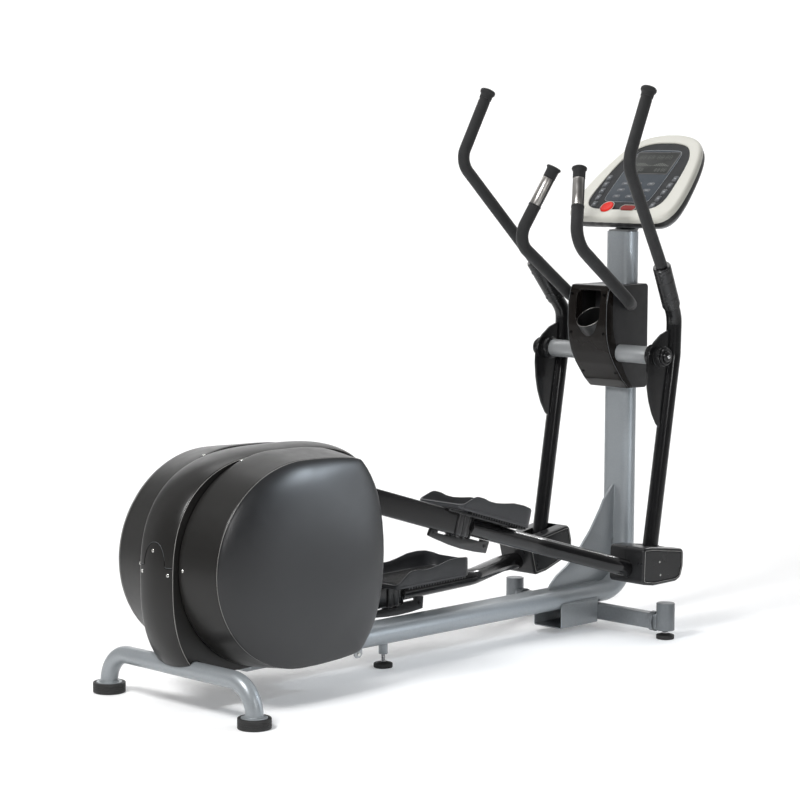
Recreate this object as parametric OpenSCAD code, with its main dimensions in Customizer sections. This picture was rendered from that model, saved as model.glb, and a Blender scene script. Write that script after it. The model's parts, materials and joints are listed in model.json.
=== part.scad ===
// Rear-drive elliptical trainer.
// All stations are measured from the line through the two rear feet
// (x forward to the console, y to the user's left, z up from the floor);
// the whole machine is then shifted by x_ref so that its origin is the
// bottom centre of its box.

/* [Frame] */
// Distance between the two rear feet
feet_span = 600; // [560:10:640]
// Centre height of the floor beam
beam_z = 105; // [100:1:110]
// Width of the flat-oval beam and column
oval_w = 110; // [100:2:120]
// Depth of the flat-oval beam and column
oval_d = 60; // [56:1:62]
// Station of the column centre line
column_x = 1842; // [1838:1:1846]
// Backward lean of the bottle holder, degrees
cup_tilt = 40; // [30:1:50]
// Height of the column top
column_top = 1245; // [1235:1:1250]
// Wall of the frame tubes
frame_wall = 3; // [2:0.5:4]

/* [Housing] */
// Station of the crank centre
crank_x = 276; // [272:1:280]
// Height of the crank centre
crank_z = 388; // [384:1:392]
// Half width of the centre shroud
shroud_half = 67; // [64:1:67]
// Distance of the cover seam from the middle
seam_y = 200; // [198:1:202]
// Bulge of the side cover beyond its seam
cover_bulge = 35; // [20:1:40]
// Wall of the moulded covers
cover_wall = 4; // [3:0.5:5]

/* [Drive] */
// Crank radius
crank_r = 205; // [190:1:206]
// Radius of the drive pulley
pulley_r = 165; // [150:1:168]
// Radius of the small pulley
pinion_r = 28; // [24:1:32]
// Radius of the flywheel
flywheel_r = 125; // [110:1:125]

/* [Levers] */
// Station of the lever pivot
pivot_x = 1742; // [1740:1:1744]
// Height of the lever pivot
pivot_z = 868; // [866:1:870]
// Distance of the levers from the middle
lever_y = 228; // [226:1:230]
// Radius of the lever tube
lever_r = 24; // [21:0.5:24]
// Radius of the handle foam
grip_r = 19; // [16:0.5:20]

/* [Pedal arms] */
// Station of the joint between lever and pedal arm
pin_x = 1711; // [1709:1:1713]
// Height of that joint
pin_z = 225; // [223:1:227]
// Distance of the rear arm tube from the middle
arm_y = 130; // [130:1:131]
// Tilt of the right arm in degrees
arm_tilt_right = 15.3; // [15:0.1:15.6]
// Tilt of the left arm in degrees
arm_tilt_left = -2.34; // [-2.6:0.01:-2.1]
// Radius of the round front arm tube
arm_r = 26; // [24:0.5:26]
// Length of the pedal tray
pedal_len = 330; // [320:1:332]
// Width of the pedal tray
pedal_w = 180; // [170:1:182]

/* [Console] */
// Tilt of the console from the horizontal
console_tilt = 41.4; // [40:0.1:43]
// Length of the display panel
panel_len = 320; // [310:1:322]

/* [Hidden] */
x_ref = 1017.237;
orad = oval_d/2;
obend = beam_z;
crank_ang = 6.5;
fly_x = 490;
fly_z = 290;
hf = feet_span/2;
clr = 0.06;

// ---------- helpers ----------
module at0() translate([-x_ref,0,0]) children();
module side(s) { if (s > 0) children(); else mirror([0,1,0]) children(); }
// slab of an x-z outline between y0 and y1
module slab(y0,y1,pts) translate([0,y1,0]) rotate([90,0,0]) linear_extrude(height=y1-y0) polygon(pts);
module ycyl(x,z,y0,y1,r,fn=48) translate([x,y1,z]) rotate([90,0,0]) cylinder(h=y1-y0,r=r,$fn=fn);
function sg(v) = v < 0 ? -1 : 1;
// closed outline with separate rear/front half lengths, top/bottom half heights and corner exponents
function outline(cx,cz,ar,af,bt,bb,nr,nf,n=60) = [for (i=[0:n-1]) let(t=360*(i+0.5)/n, c=cos(t), s=sin(t),
   a=c<0?ar:af, e=c<0?nr:nf, b=s<0?bb:bt) [cx+sg(c)*a*pow(abs(c),2/e), cz+sg(s)*b*pow(abs(s),2/e)]];
// vectors
function unit(v) = v/norm(v);
// one straight piece of round tube from p to q
module seg(p,q,ro,ri) {
  d=q-p; L=norm(d); z=d/L; a=abs(z[2])>0.9?[1,0,0]:[0,0,1]; x=unit(cross(a,z)); y=cross(z,x);
  multmatrix([[x[0],y[0],z[0],p[0]],[x[1],y[1],z[1],p[1]],[x[2],y[2],z[2],p[2]],[0,0,0,1]])
    if (ri > 0) linear_extrude(height=L) difference() { circle(r=ro,$fn=40); circle(r=ri,$fn=40); }
    else cylinder(h=L,r=ro,$fn=40);
}
// one bend of round tube at corner p between directions d1 and d2
module bend(p,d1,d2,rb,ro,ri) {
  th=acos(d1*d2); c=p+unit(d2-d1)*rb/cos(th/2); z=unit(cross(d1,d2)); t=rb*tan(th/2); x=unit((p-d1*t)-c); y=cross(z,x);
  multmatrix([[x[0],y[0],z[0],c[0]],[x[1],y[1],z[1],c[1]],[x[2],y[2],z[2],c[2]],[0,0,0,1]])
    rotate_extrude(angle=th,$fn=48) translate([rb,0]) difference() { circle(r=ro-0.2,$fn=40); if (ri>0) circle(r=ri+0.2,$fn=40); }
}
// round tube through points P with bend radius rb at each inner point;
// bends are 0.2 smaller so that each straight laps over the bend's end
module pipe(P,rb,ro,ri=0) {
  n=len(P);
  D=[for (i=[0:n-2]) unit(P[i+1]-P[i])];
  T=[for (i=[0:n-1]) (i==0||i==n-1)?0:rb*tan(acos(D[i-1]*D[i])/2)];
  for (i=[0:n-2]) seg(P[i]+D[i]*(T[i]-(i>0?0.6:0)),P[i+1]-D[i]*(T[i+1]-(i<n-2?0.6:0)),ro,ri);
  for (i=[1:n-2]) bend(P[i],D[i-1],D[i],rb,ro,ri);
}
// flat-oval section, first axis depth, second axis width
module oval2d(d,w) { translate([0,-(w-d)/2]) circle(d=d,$fn=48); translate([0,(w-d)/2]) circle(d=d,$fn=48); square([d,w-d],center=true); }
module ovalring2d(d,w,t) difference() { oval2d(d,w); oval2d(d-2*t,w-2*t); }
module beam_solid(x0,x1,grow=0) translate([x0,0,beam_z]) rotate([0,90,0]) linear_extrude(height=x1-x0) oval2d(oval_d+2*grow,oval_w+2*grow);
module column_solid(z0,z1,grow=0) translate([column_x,0,z0]) linear_extrude(height=z1-z0) oval2d(oval_d+2*grow,oval_w+2*grow);
module rrect(x,y,r) { translate([-x/2+r,-y/2]) square([x-2*r,y]); translate([-x/2,-y/2+r]) square([x,y-2*r]);
  for (i=[-1,1],j=[-1,1]) translate([i*(x/2-r),j*(y/2-r)]) circle(r=r,$fn=24); }

// ---------- frame ----------
module main_beam() color([0.60,0.63,0.65]) at0() {
  translate([215,0,beam_z]) rotate([0,90,0]) linear_extrude(height=column_x-obend-215) ovalring2d(oval_d,oval_w,frame_wall);
  difference() { translate([8,0,117]) rotate([0,90,0]) linear_extrude(height=204) rrect(34,76,4); ycyl(0,116,-60,60,24.56); }
  translate([210,0,beam_z]) rotate([0,90,0]) linear_extrude(height=6) oval2d(oval_d-0.4,oval_w-0.4);
}
module column() color([0.60,0.63,0.65]) at0() {
  translate([column_x-obend,0,beam_z+obend]) rotate([-90,0,0]) rotate_extrude(angle=90,$fn=72) translate([obend,0]) ovalring2d(oval_d,oval_w,frame_wall);
  translate([column_x,0,beam_z+obend]) linear_extrude(height=column_top-beam_z-obend) ovalring2d(oval_d,oval_w,frame_wall);
  translate([column_x,0,column_top-6]) linear_extrude(height=6) oval2d(oval_d-2*frame_wall,oval_w-2*frame_wall);
}
module column_gusset() color([0.60,0.63,0.65]) at0() difference() {
  slab(-4,4,[[1825,440],[1806,436],[1762,392],[1748,368],[1700,303],[1652,254],[1590,203],[1538,175],[1510,150],[1500,120],[1740,120],[1825,210]]);
  beam_solid(1400,column_x-obend,clr);
  translate([column_x-obend,0,beam_z+obend]) rotate([-90,0,0]) rotate_extrude(angle=90,$fn=72) translate([obend,0]) oval2d(oval_d+2*clr,oval_w+2*clr);
  column_solid(beam_z+obend,500,clr);
  translate([1803,-10,233]) cube([3,20,32]);
}
module rear_stabilizer() color([0.60,0.63,0.65]) at0() {
  pipe([[0,-hf,30],[0,-hf,116],[0,hf,116],[0,hf,30]],85,24.5,21.5);
  for (s=[-1,1]) translate([0,s*hf,27.05]) cylinder(h=3,r=36,$fn=48);
}
module rear_feet() color([0.10,0.10,0.10]) at0() for (s=[-1,1]) translate([0,s*hf,0]) difference() {
  union() { cylinder(h=4,r1=43.5,r2=45.5,$fn=60); translate([0,0,4]) cylinder(h=25,r=45.5,$fn=60); }
  translate([0,0,27]) cylinder(h=5,r=37,$fn=60);
}
module front_receiver() color([0.60,0.63,0.65]) at0() difference() {
  translate([1501,0,57]) rotate([0,90,0]) linear_extrude(height=172.94) difference() { rrect(78,114,7); rrect(70,106,4); }
  beam_solid(1480,1700,clr);
  translate([1480,-50,60]) cube([220,100,60]);
}
module front_crossbar() color([0.60,0.63,0.65]) at0() {
  difference() { translate([1674,-300,27]) cube([40,600,47.94]); translate([1677,-310,30]) cube([34,620,41.94]);
    for (s=[-1,1]) translate([1695,s*312,0]) cylinder(h=130,r=28,$fn=60); for (s=[-1,1]) translate([1660,s*315-10,0]) cube([80,20,80]); }
  for (s=[-1,1]) difference() { ycyl(1694,50,s>0?262:-280,s>0?280:-262,31); translate([1674.5,-300,27.5]) cube([39,600,46.94]);
     translate([1695,s*312,0]) cylinder(h=130,r=28,$fn=60); }
  for (s=[-1,1]) translate([1695,s*312,0]) difference() {
    translate([0,0,27]) cylinder(h=85,r=28.5,$fn=60);
    translate([0,0,33]) cylinder(h=73,r=25.5,$fn=60);
    cylinder(h=60,r=6.06,$fn=36); }
}
module levelling_feet() color([0.12,0.12,0.12]) at0() {
  for (s=[-1,1]) translate([1695,s*312,0]) { cylinder(h=3,r1=26,r2=28,$fn=48); translate([0,0,3]) cylinder(h=9,r=28,$fn=48); translate([0,0,12]) cylinder(h=5,r1=28,r2=14,$fn=48);
    translate([0,0,17]) cylinder(h=4,r=10,$fn=6); translate([0,0,20]) cylinder(h=42,r=6,$fn=36); }
  translate([774,0,0]) { cylinder(h=3,r1=27,r2=29,$fn=48); translate([0,0,3]) cylinder(h=7,r=29,$fn=48); translate([0,0,10]) cylinder(h=5,r1=29,r2=12,$fn=48);
    translate([0,0,15]) cylinder(h=5,r=10,$fn=6); translate([0,0,19]) cylinder(h=48,r=6,$fn=36);
    difference() { translate([0,0,40]) cylinder(h=50,r=13.5,$fn=36); translate([0,0,30]) cylinder(h=80,r=6.06,$fn=36); translate([-774,0,0]) beam_solid(700,850,clr); } }
}
// ---------- drive ----------
plate_pts=[[170,120],[612,120],[575,250],[545,330],[470,345],[345,425],[318,440],[234,440],[205,400]];
module bearing_plates() color([0.55,0.58,0.60]) at0() difference() {
  for (s=[-1,1]) slab(s>0?42:-50,s>0?50:-42,plate_pts);
  beam_solid(100,700,clr);
  ycyl(crank_x,crank_z,-60,60,31); ycyl(fly_x,fly_z,-60,60,22);
  for (p=[[300,230],[390,210],[450,170],[250,190],[380,290]]) ycyl(p[0],p[1],-60,60,26);
}
module bearings() color([0.70,0.71,0.73]) at0() for (s=[-1,1]) side(s) {
  difference() { union() { ycyl(crank_x,crank_z,36,54,30.95); ycyl(crank_x,crank_z,50.05,54,40); } ycyl(crank_x,crank_z,30,60,15+clr); }
  difference() { union() { ycyl(fly_x,fly_z,38,53,21.95); ycyl(fly_x,fly_z,50.05,53,28); } ycyl(fly_x,fly_z,30,60,10+clr); }
}
cpr=[crank_x+crank_r*sin(crank_ang), crank_z+crank_r*cos(crank_ang)];
cpl=[crank_x-crank_r*sin(crank_ang), crank_z-crank_r*cos(crank_ang)];
module crank_axle() color([0.72,0.73,0.75]) at0() { ycyl(crank_x,crank_z,-94,94,15); for (s=[-1,1]) side(s) ycyl(crank_x,crank_z,94,98,22,36); }
module crank_arm(s) color([0.30,0.31,0.33]) at0() side(s) {
  p=s>0?cpl:cpr; d=[p[0]-crank_x,p[1]-crank_z]; L=norm(d); u=d/L; n=[-u[1],u[0]];
  difference() { union() { ycyl(crank_x,crank_z,72,92,34); ycyl(p[0],p[1],72,92,26);
      slab(74,90,[[crank_x+n[0]*26,crank_z+n[1]*26],[p[0]+n[0]*20,p[1]+n[1]*20],[p[0]-n[0]*20,p[1]-n[1]*20],[crank_x-n[0]*26,crank_z-n[1]*26]]); }
    ycyl(crank_x,crank_z,60,100,15.02); }
  ycyl(p[0],p[1],75,109.5,14);
}
module crank_arm_left() crank_arm(1);
module crank_arm_right() crank_arm(-1);
module drive_pulley() color([0.16,0.16,0.17]) at0() difference() {
  union() { ycyl(crank_x,crank_z,-30,-10,pulley_r,90); ycyl(crank_x,crank_z,-34,-2,34); }
  ycyl(crank_x,crank_z,-40,0,15.02);
  difference() { union() { ycyl(crank_x,crank_z,-40,-24,pulley_r-14,90); ycyl(crank_x,crank_z,-16,0,pulley_r-14,90); } ycyl(crank_x,crank_z,-40,0,36); }
  for (i=[0:5]) ycyl(crank_x+100*cos(60*i),crank_z+100*sin(60*i),-40,0,30,36);
}
module flywheel() color([0.45,0.46,0.48]) at0() difference() {
  union() { ycyl(fly_x,fly_z,0,25,flywheel_r,90); ycyl(fly_x,fly_z,-4,29,24); }
  difference() { union() { ycyl(fly_x,fly_z,-1,6,flywheel_r-22,90); ycyl(fly_x,fly_z,19,26,flywheel_r-22,90); } ycyl(fly_x,fly_z,-6,30,24); }
  ycyl(fly_x,fly_z,-10,40,10.02);
}
module flywheel_shaft() color([0.72,0.73,0.75]) at0() { ycyl(fly_x,fly_z,-57,57,10); ycyl(fly_x,fly_z,-31,-9,pinion_r); }
// belt loop around both pulleys at distance g outside them
module loop2d(g) {
  r1=pulley_r+g; r2=pinion_r+g; d=[fly_x-crank_x,fly_z-crank_z]; L=norm(d); a=atan2(d[1],d[0]); b=acos((r1-r2)/L);
  circle(r=r1,$fn=90); translate(d) circle(r=r2,$fn=48);
  polygon([[r1*cos(a+b),r1*sin(a+b)],[r1*cos(a-b),r1*sin(a-b)],[d[0]+r2*cos(a-b),d[1]+r2*sin(a-b)],[d[0]+r2*cos(a+b),d[1]+r2*sin(a+b)]]);
}
module drive_belt() color([0.07,0.07,0.07]) at0() translate([crank_x,-11,crank_z]) rotate([90,0,0]) linear_extrude(height=18) difference() { loop2d(4.4); loop2d(0.4); }
module brake_magnets() color([0.5,0.5,0.52]) at0() {
  slab(-7,-3,[[580,235],[626,235],[626,325],[590,325],[575,300],[575,260]]);
  slab(28,32,[[580,235],[626,235],[626,325],[590,325],[575,300],[575,260]]);
  translate([619,-3,240]) cube([6,31,80]);
  translate([585,32,244]) cube([26,10,10]);
}
// ---------- housing ----------
module shroud_body(g) { // half shell profile, g shrinks it inward
  ho = outline(309,356,399-g,375-g,336-g,345-g,2.6,3.6);
  hi = outline(309,356,388-g,365-g,326-g,335-g,2.6,3.6);
  hm = outline(309,356,396-g,372-g,333-g,342-g,2.6,3.6);
  hull() { slab(g>0?-2:0.2,shroud_half-14-g,ho); slab(shroud_half-6-g,shroud_half-5-g,hm); slab(shroud_half-1-g,shroud_half-g,hi); }
}
// screw heads: [x, y, z, outward angle in the x-z plane]
screw_list = [[-89.6,44,382,180],[-62.3,85,395,180],[155,76,670,108]];
module screw_set(r,h0,h1) for (q=screw_list) translate([q[0],q[1],q[2]]) rotate([0,90-q[3],0]) translate([0,0,h0]) cylinder(h=h1-h0,r=r,$fn=24);
module shroud(s) color([0.13,0.13,0.14]) at0() side(s) difference() {
  shroud_body(0);
  shroud_body(cover_wall);
  translate([-200,-10,-20]) cube([1000,200,112]);
  translate([27,-10,0]) cube([800,10+57,137]);
  ycyl(0,116,-10,100,26); translate([-26,-10,0]) cube([52,120,116]);
  ycyl(crank_x,crank_z,-10,100,24);
  screw_set(5.1,-14,12);
}
module shroud_left() shroud(1);
module shroud_right() shroud(-1);
// seam outline: round at the rear, flatter with two corners at the front; g shrinks it inward
fs=[[0.15,0.999],[0.30,0.993],[0.45,0.983],[0.58,0.968],[0.66,0.955],[0.705,0.938],[0.74,0.90],[0.78,0.85],[0.83,0.775],[0.88,0.68],[0.92,0.58],[0.955,0.45],[0.98,0.30],[0.995,0.15]];
function dee(g) = concat([for (i=[0:28]) let(t=90+180*i/28) [270+(312-g)*cos(t),388+(283-g)*sin(t)]],
  [for (p=fs) [270+(302-g)*p[0],388-(283-g)*p[1]]],[[572-g,388]],[for (i=[len(fs)-1:-1:0]) [270+(302-g)*fs[i][0],388+(283-g)*fs[i][1]]]);
module rim(s) color([0.12,0.12,0.13]) at0() side(s) difference() {
  hull() { slab(shroud_half+0.6,shroud_half+1.6,outline(270,390,335,340,299,300,2,3.6)); slab(seam_y-1,seam_y,dee(0)); }
  hull() { slab(shroud_half-8,shroud_half-7,outline(270,390,332.5,337.5,296.5,297.5,2,3.6)); slab(seam_y+8,seam_y+9,dee(5.5)); }
  translate([470,shroud_half-1,112]) cube([300,seam_y-9-shroud_half,543]);
  screw_set(5.1,-14,12);
}
module rim_left() rim(1);
module rim_right() rim(-1);
module cover_body(g) {
  b=cover_bulge;
  hull() { slab(seam_y+0.3-(g>0?5:0),seam_y+5,dee(g));
    slab(seam_y+0.55*b-g,seam_y+0.55*b-g+0.5,dee(12+g));
    slab(seam_y+0.85*b-g,seam_y+0.85*b-g+0.5,outline(270,388,262-g,256-g,236-g,236-g,2.2,2.9));
    slab(seam_y+b-0.5-g,seam_y+b-g,outline(270,388,190-g,190-g,170-g,170-g,2.2,2.6)); }
}
module side_cover(s) color([0.17,0.17,0.18]) at0() side(s) difference() { cover_body(0); cover_body(cover_wall); }
module side_cover_left() side_cover(1);
module side_cover_right() side_cover(-1);
module cover_screws() color([0.8,0.8,0.82]) at0() for (s=[-1,1]) side(s) screw_set(5,-6,1.2);
// ---------- lever pivot ----------
module pivot_tube() color([0.60,0.62,0.63]) at0() {
  difference() { ycyl(pivot_x,pivot_z,-198,198,27.5); ycyl(pivot_x,pivot_z,-178,178,24.5); ycyl(pivot_x,pivot_z,-210,210,12.56); }
  difference() { for (s=[-1,1]) slab(s>0?30:-38,s>0?38:-30,[[1761,844],[1780,812],[1830,812],[1830,898],[1764,898],[1743,884]]);
    column_solid(700,1000,clr); ycyl(pivot_x,pivot_z,-60,60,27); }
}
module pivot_axle() color([0.13,0.13,0.14]) at0() { ycyl(pivot_x,pivot_z,-258,258,12.5);
  for (s=[-1,1]) side(s) { ycyl(pivot_x,pivot_z,257.6,263,27); ycyl(pivot_x,pivot_z,263,268,17); translate([pivot_x,272,pivot_z]) rotate([90,0,0]) cylinder(h=5,r=9,$fn=6); } }
// ---------- junction box ----------
jb=[[1700,1066],[1712,1080],[1870,1082],[1878,1074],[1878,760],[1870,752],[1800,754],[1766,800],[1722,880],[1702,944]];
jbi=[[1690,1062],[1716,1076],[1868,1078],[1874,1072],[1874,764],[1868,756],[1804,758],[1770,802],[1690,882],[1690,944]];
module junction_box() color([0.20,0.20,0.21]) at0() difference() {
  slab(-78,78,jb); slab(-74,74,jbi);
  column_solid(700,1200,0.4); ycyl(pivot_x,pivot_z,-90,90,27.9);
  for (s=[-1,1]) side(s) seg([1735,113,1035],[1838,50,1003],13,0);
}
jf=[[1681,1060],[1690,1078],[1711.4,1079.6],[1699.6,1066],[1701.6,944],[1721.6,879.8],[1765.6,799.8],[1799.6,753.8],[1782,754],[1752,781],[1711,833],[1688,872],[1675,912],[1670,955],[1671,1020]];
module junction_front() color([0.08,0.075,0.07]) at0() difference() {
  union() { slab(-78,78,jf); 
    translate([1690,-70,945]) cube([16,140,120]); }
  translate([1650,-53,966]) cube([100,102,96]);
  cup_at() translate([0,0,-76]) cylinder(h=88,r=46.4,$fn=60);
  ycyl(pivot_x,pivot_z,-100,100,27.9);
}
module cup_at() translate([1684,-2,980]) rotate([0,-cup_tilt,0]) children();
module bottle_cup() color([0.05,0.05,0.05]) at0() cup_at() difference() {
  translate([0,0,-75]) cylinder(h=75,r=46,$fn=60);
  translate([0,0,-72]) cylinder(h=90,r=43,$fn=60);
}
// ---------- fixed handlebars ----------
fh=[[1565,52,1443],[1474,120,1221],[1735,113,1035],[1838,50,1003]];
fd=unit(fh[1]-fh[0]);
module fixed_handlebars() color([0.3,0.3,0.3]) at0() difference() { for (s=[-1,1]) side(s) pipe(fh,70,12.5,10.5); column_solid(900,1100,clr); }
module fixed_grips() color([0.11,0.11,0.11]) at0() for (s=[-1,1]) side(s) {
  difference() { pipe([fh[0]+fd*126,fh[1],fh[2]-unit(fh[2]-fh[1])*34],70,19.6,12.5+clr); seg(fh[0]+fd*120,fh[0]+fd*125.9,30,0); }
  difference() { union() { seg(fh[0]-fd*6,fh[0]+fd*4,24,0); seg(fh[0]+fd*4,fh[0]+fd*34,19.6,0); } seg(fh[0],fh[0]+fd*40,12.5+clr,0); }
}
module contact_plates() color([0.75,0.74,0.72]) at0() for (s=[-1,1]) side(s) seg(fh[0]+fd*34.1,fh[0]+fd*125.9,19.2,12.5+clr);
// ---------- console ----------
module con() translate([1831,0,1320]) rotate([0,-console_tilt,0]) children();
function cout(g) = [for (p=[[-52,150],[-48,175],[-35,193],[-15,204],[15,210],[60,208],[120,200],[190,185],[240,170],[283,151],[312,129],[332,99],[344,62],[350,24]]) [p[0]*(1-g/155)+g,p[1]*(1-g/210)]];
function sym(h) = concat(h,[for (i=[len(h)-1:-1:0]) [h[i][0],-h[i][1]]]);
pan=[[-10,100],[0,128],[14,144],[40,154],[98,152],[166,146],[229,135],[265,116],[288,96],[301,66],[307,30]];
module console_shell() color([0.25,0.26,0.27]) at0() con() difference() {
  hull() { translate([0,0,-40]) linear_extrude(height=3.9) polygon(sym(cout(3))); translate([0,0,-66]) linear_extrude(height=1) polygon(sym(cout(34))); }
  hull() { translate([0,0,-39]) linear_extrude(height=4) polygon(sym(cout(7))); translate([0,0,-62]) linear_extrude(height=1) polygon(sym(cout(38))); }
}
module console_bezel() color([0.88,0.875,0.84]) at0() con() difference() {
  union() { translate([0,0,-36]) linear_extrude(height=30) polygon(sym(cout(0)));
    hull() { translate([0,0,-6.5]) linear_extrude(height=0.5) polygon(sym(cout(0))); translate([0,0,3]) linear_extrude(height=1) polygon(sym(cout(12))); } }
  translate([0,0,-8.1]) linear_extrude(height=30) polygon(sym(pan));
  translate([0,0,-40]) linear_extrude(height=30) polygon(sym(cout(6)));
  button_cuts();
}
module console_panel() color([0.14,0.15,0.16]) at0() con() difference() {
  translate([0,0,-8]) linear_extrude(height=7.5) polygon(sym([for (p=pan) [p[0]+(p[0]<50?0.5:-0.4),p[1]-0.5]]));
  translate([156,-88,-3]) cube([109,176,10]);
  button_cuts();
}
module button_cuts() { translate([-2,55,-12]) cylinder(h=40,r=23.4,$fn=48); translate([-4,-32,-12]) pill(28.4,11.4,40); }
module pill(l,r,h) linear_extrude(height=h) { translate([0,-(l-r)]) circle(r=r,$fn=36); translate([0,l-r]) circle(r=r,$fn=36); square([2*r,2*(l-r)],center=true); }
module console_keys() color([0.35,0.37,0.40]) at0() con() {
  for (s=[-1,1],i=[0:4]) translate([14+31*i,s*(118+i*4),-0.45]) linear_extrude(height=2) rrect(24,17,6);
  translate([157,-87.5,-2.95]) cube([107,175,2]);
  for (i=[-1,0,1],j=[0:2]) translate([52+30*j,i*52,-0.45]) linear_extrude(height=1.2) rrect(12,26,5);
}
module console_neck() color([0.5,0.52,0.54]) at0() {
  slab(-40,40,[[1818,1245.1],[1866,1245.1],[1912,1303],[1867,1263.6],[1850,1252],[1822,1250]]);
}
module stop_button() color([0.80,0.17,0.12]) at0() con() { translate([-2,55,-5]) cylinder(h=9,r=23,$fn=48); translate([-2,55,4]) cylinder(h=3,r1=23,r2=18,$fn=48); }
module start_button() color([0.62,0.20,0.16]) at0() con() { translate([-4,-32,-5]) pill(28,11,10); }
// ---------- levers ----------
lv=[[pin_x,lever_y,pin_z],[1818,lever_y,868],[1821,lever_y,985],[1716,259,1145]];
sd=unit(lv[3]-lv[2]);
hb=[lv[3]-sd*52,lv[3],[1447,338,1463],[1557,325,1679]];
he=unit(hb[3]-hb[2]);
module lever_tube(s) color([0.08,0.08,0.085]) at0() side(s) difference() {
  union() { difference() { pipe([lv[0]+unit(lv[1]-lv[0])*20,lv[1],lv[2],lv[3]-sd*62],75,lever_r,lever_r-3); }
    ycyl(pin_x,pin_z,lever_y-22,lever_y+22,26); }
  ycyl(pin_x,pin_z,lever_y-40,lever_y+40,10+clr);
}
module lever_tube_left() lever_tube(1);
module lever_tube_right() lever_tube(-1);
module lever_plate(s) color([0.10,0.10,0.105]) at0() side(s) difference() {
  slab(lever_y-4,lever_y+4,[[1822,950],[1790,946],[1755,934],[1722,912],[1700,888],[1690,862],[1688,820],[1692,775],[1702,730],[1718,690],[1740,655],[1762,640],[1782,640]]);
  pipe([lv[0]-unit(lv[1]-lv[0])*40,lv[1],lv[2],lv[3]],75,lever_r+clr,0);
  ycyl(pivot_x,pivot_z,200,260,31.02);
}
module lever_plate_left() lever_plate(1);
module lever_plate_right() lever_plate(-1);
module lever_hub(s) color([0.07,0.07,0.07]) at0() side(s) difference() {
  union() { ycyl(pivot_x,pivot_z,198.5,257.1,31); ycyl(pivot_x,pivot_z,202,214,35); }
  ycyl(pivot_x,pivot_z,190,270,12.5+clr);
}
module lever_hub_left() lever_hub(1);
module lever_hub_right() lever_hub(-1);
module handle_sleeve(s) color([0.12,0.12,0.12]) at0() side(s) difference() {
  union() { seg(lv[3]-sd*146,lv[3]+sd*0,28,0); seg(lv[3]-sd*10,lv[3]+sd*4,26.5,0); seg(lv[3]-sd*151,lv[3]-sd*144,26,0); }
  pipe([lv[0]-unit(lv[1]-lv[0])*40,lv[1],lv[2],lv[3]-sd*61.9],75,lever_r+clr,0);
  seg(lv[3]-sd*61.9,lv[3]-sd*11.9,21.5,0);
  pipe(hb,65,14.2,0);
}
module handle_sleeve_left() handle_sleeve(1);
module handle_sleeve_right() handle_sleeve(-1);
module handlebar(s) color([0.3,0.3,0.31]) at0() side(s) { pipe(hb,65,14,11.5); seg(lv[3]-sd*60,lv[3]-sd*13,21.4,14); }
module handlebar_left() handlebar(1);
module handlebar_right() handlebar(-1);
module handle_grip(s) color([0.11,0.11,0.11]) at0() side(s) {
  pipe([lv[3]+unit(hb[2]-hb[1])*6.6,hb[2],hb[3]-he*24],65,grip_r,14+clr);
  difference() { union() { seg(hb[3]-he*23.9,hb[3]-he*4,grip_r+1,0); seg(hb[3]-he*4,hb[3]+he*8,25,0); } seg(hb[3]-he*30,hb[3]+he*0.1,14+clr,0); }
}
module handle_grip_left() handle_grip(1);
module handle_grip_right() handle_grip(-1);
// ---------- pedal arms ----------
module armf(s) translate([pin_x,0,pin_z]) rotate([0,s>0?arm_tilt_left:arm_tilt_right,0]) side(s) children();
module rearf() translate([-745,0,-16]) rotate([0,1.2,0]) children();
function alug(s) = s>0?cpl:cpr;
module pedal_arm(s) color([0.09,0.09,0.095]) at0() {
  difference() {
    armf(s) { rearf() translate([-704,arm_y,0]) rotate([90,0,90]) linear_extrude(height=700) difference() { rrect(39,68,6); rrect(33,62,3); }
      rearf() translate([-5,arm_y-22,-36]) cube([5,44,72]);
      pipe([[-748,arm_y,-16],[-420,arm_y,-21],[-175,lever_y,-31],[-84,lever_y,-33]],150,arm_r,arm_r-3);
      seg([-98,lever_y,-32.7],[-87,lever_y,-32.9],arm_r-1.5,0); }
    side(s) ycyl(alug(s)[0],alug(s)[1],100,160,27.9);
  }
  side(s) { difference() { union() { ycyl(alug(s)[0],alug(s)[1],110,150,28); ycyl(alug(s)[0],alug(s)[1],148,156,20); } ycyl(alug(s)[0],alug(s)[1],109,113,16); } }
}
module pedal_arm_left() pedal_arm(1);
module pedal_arm_right() pedal_arm(-1);
module pedal_bracket(s) color([0.13,0.13,0.135]) at0() armf(s) rearf() {
  translate([-66,arm_y,0]) rotate([90,0,90]) linear_extrude(height=44) difference() { rrect(52,74,4); square([39.2,68.2],center=true); }
  difference() { slab(arm_y-5,arm_y+5,[[-152,-34.1],[-157,-55],[-119,-60],[-60,-66],[-7,-68.5],[51,-67],[100,-63],[104,-26.3],[3,-26.3],[3,-36.3],[-21,-36.3],[-21,-34.1]]);
    translate([-122,arm_y-10,-41.5]) cube([56.1,20,10]); translate([2.9,arm_y-10,-33.2]) cube([65.1,20,10]); }
  for (x=[-120,-52,150]) translate([x,arm_y-60,x>100?27.3:34.1]) cube([28,120,x>100?9.7:2.9]);
  for (t=[-31,25.9]) translate([-120,arm_y+t,27.3]) cube([298,5.1,9.7]);
}
module pedal_bracket_left() pedal_bracket(1);
module pedal_bracket_right() pedal_bracket(-1);
ped=[[-115,37.1],[-115,49],[-104,54],[-85,67],[-66,80],[-54,85.5],[-25,86],[0,82],[30,82.5],[66,88],[107,96.5],[150,98.5],[187,95],[205,89],[215,78],[215,50],[200,37.1]];
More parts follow.
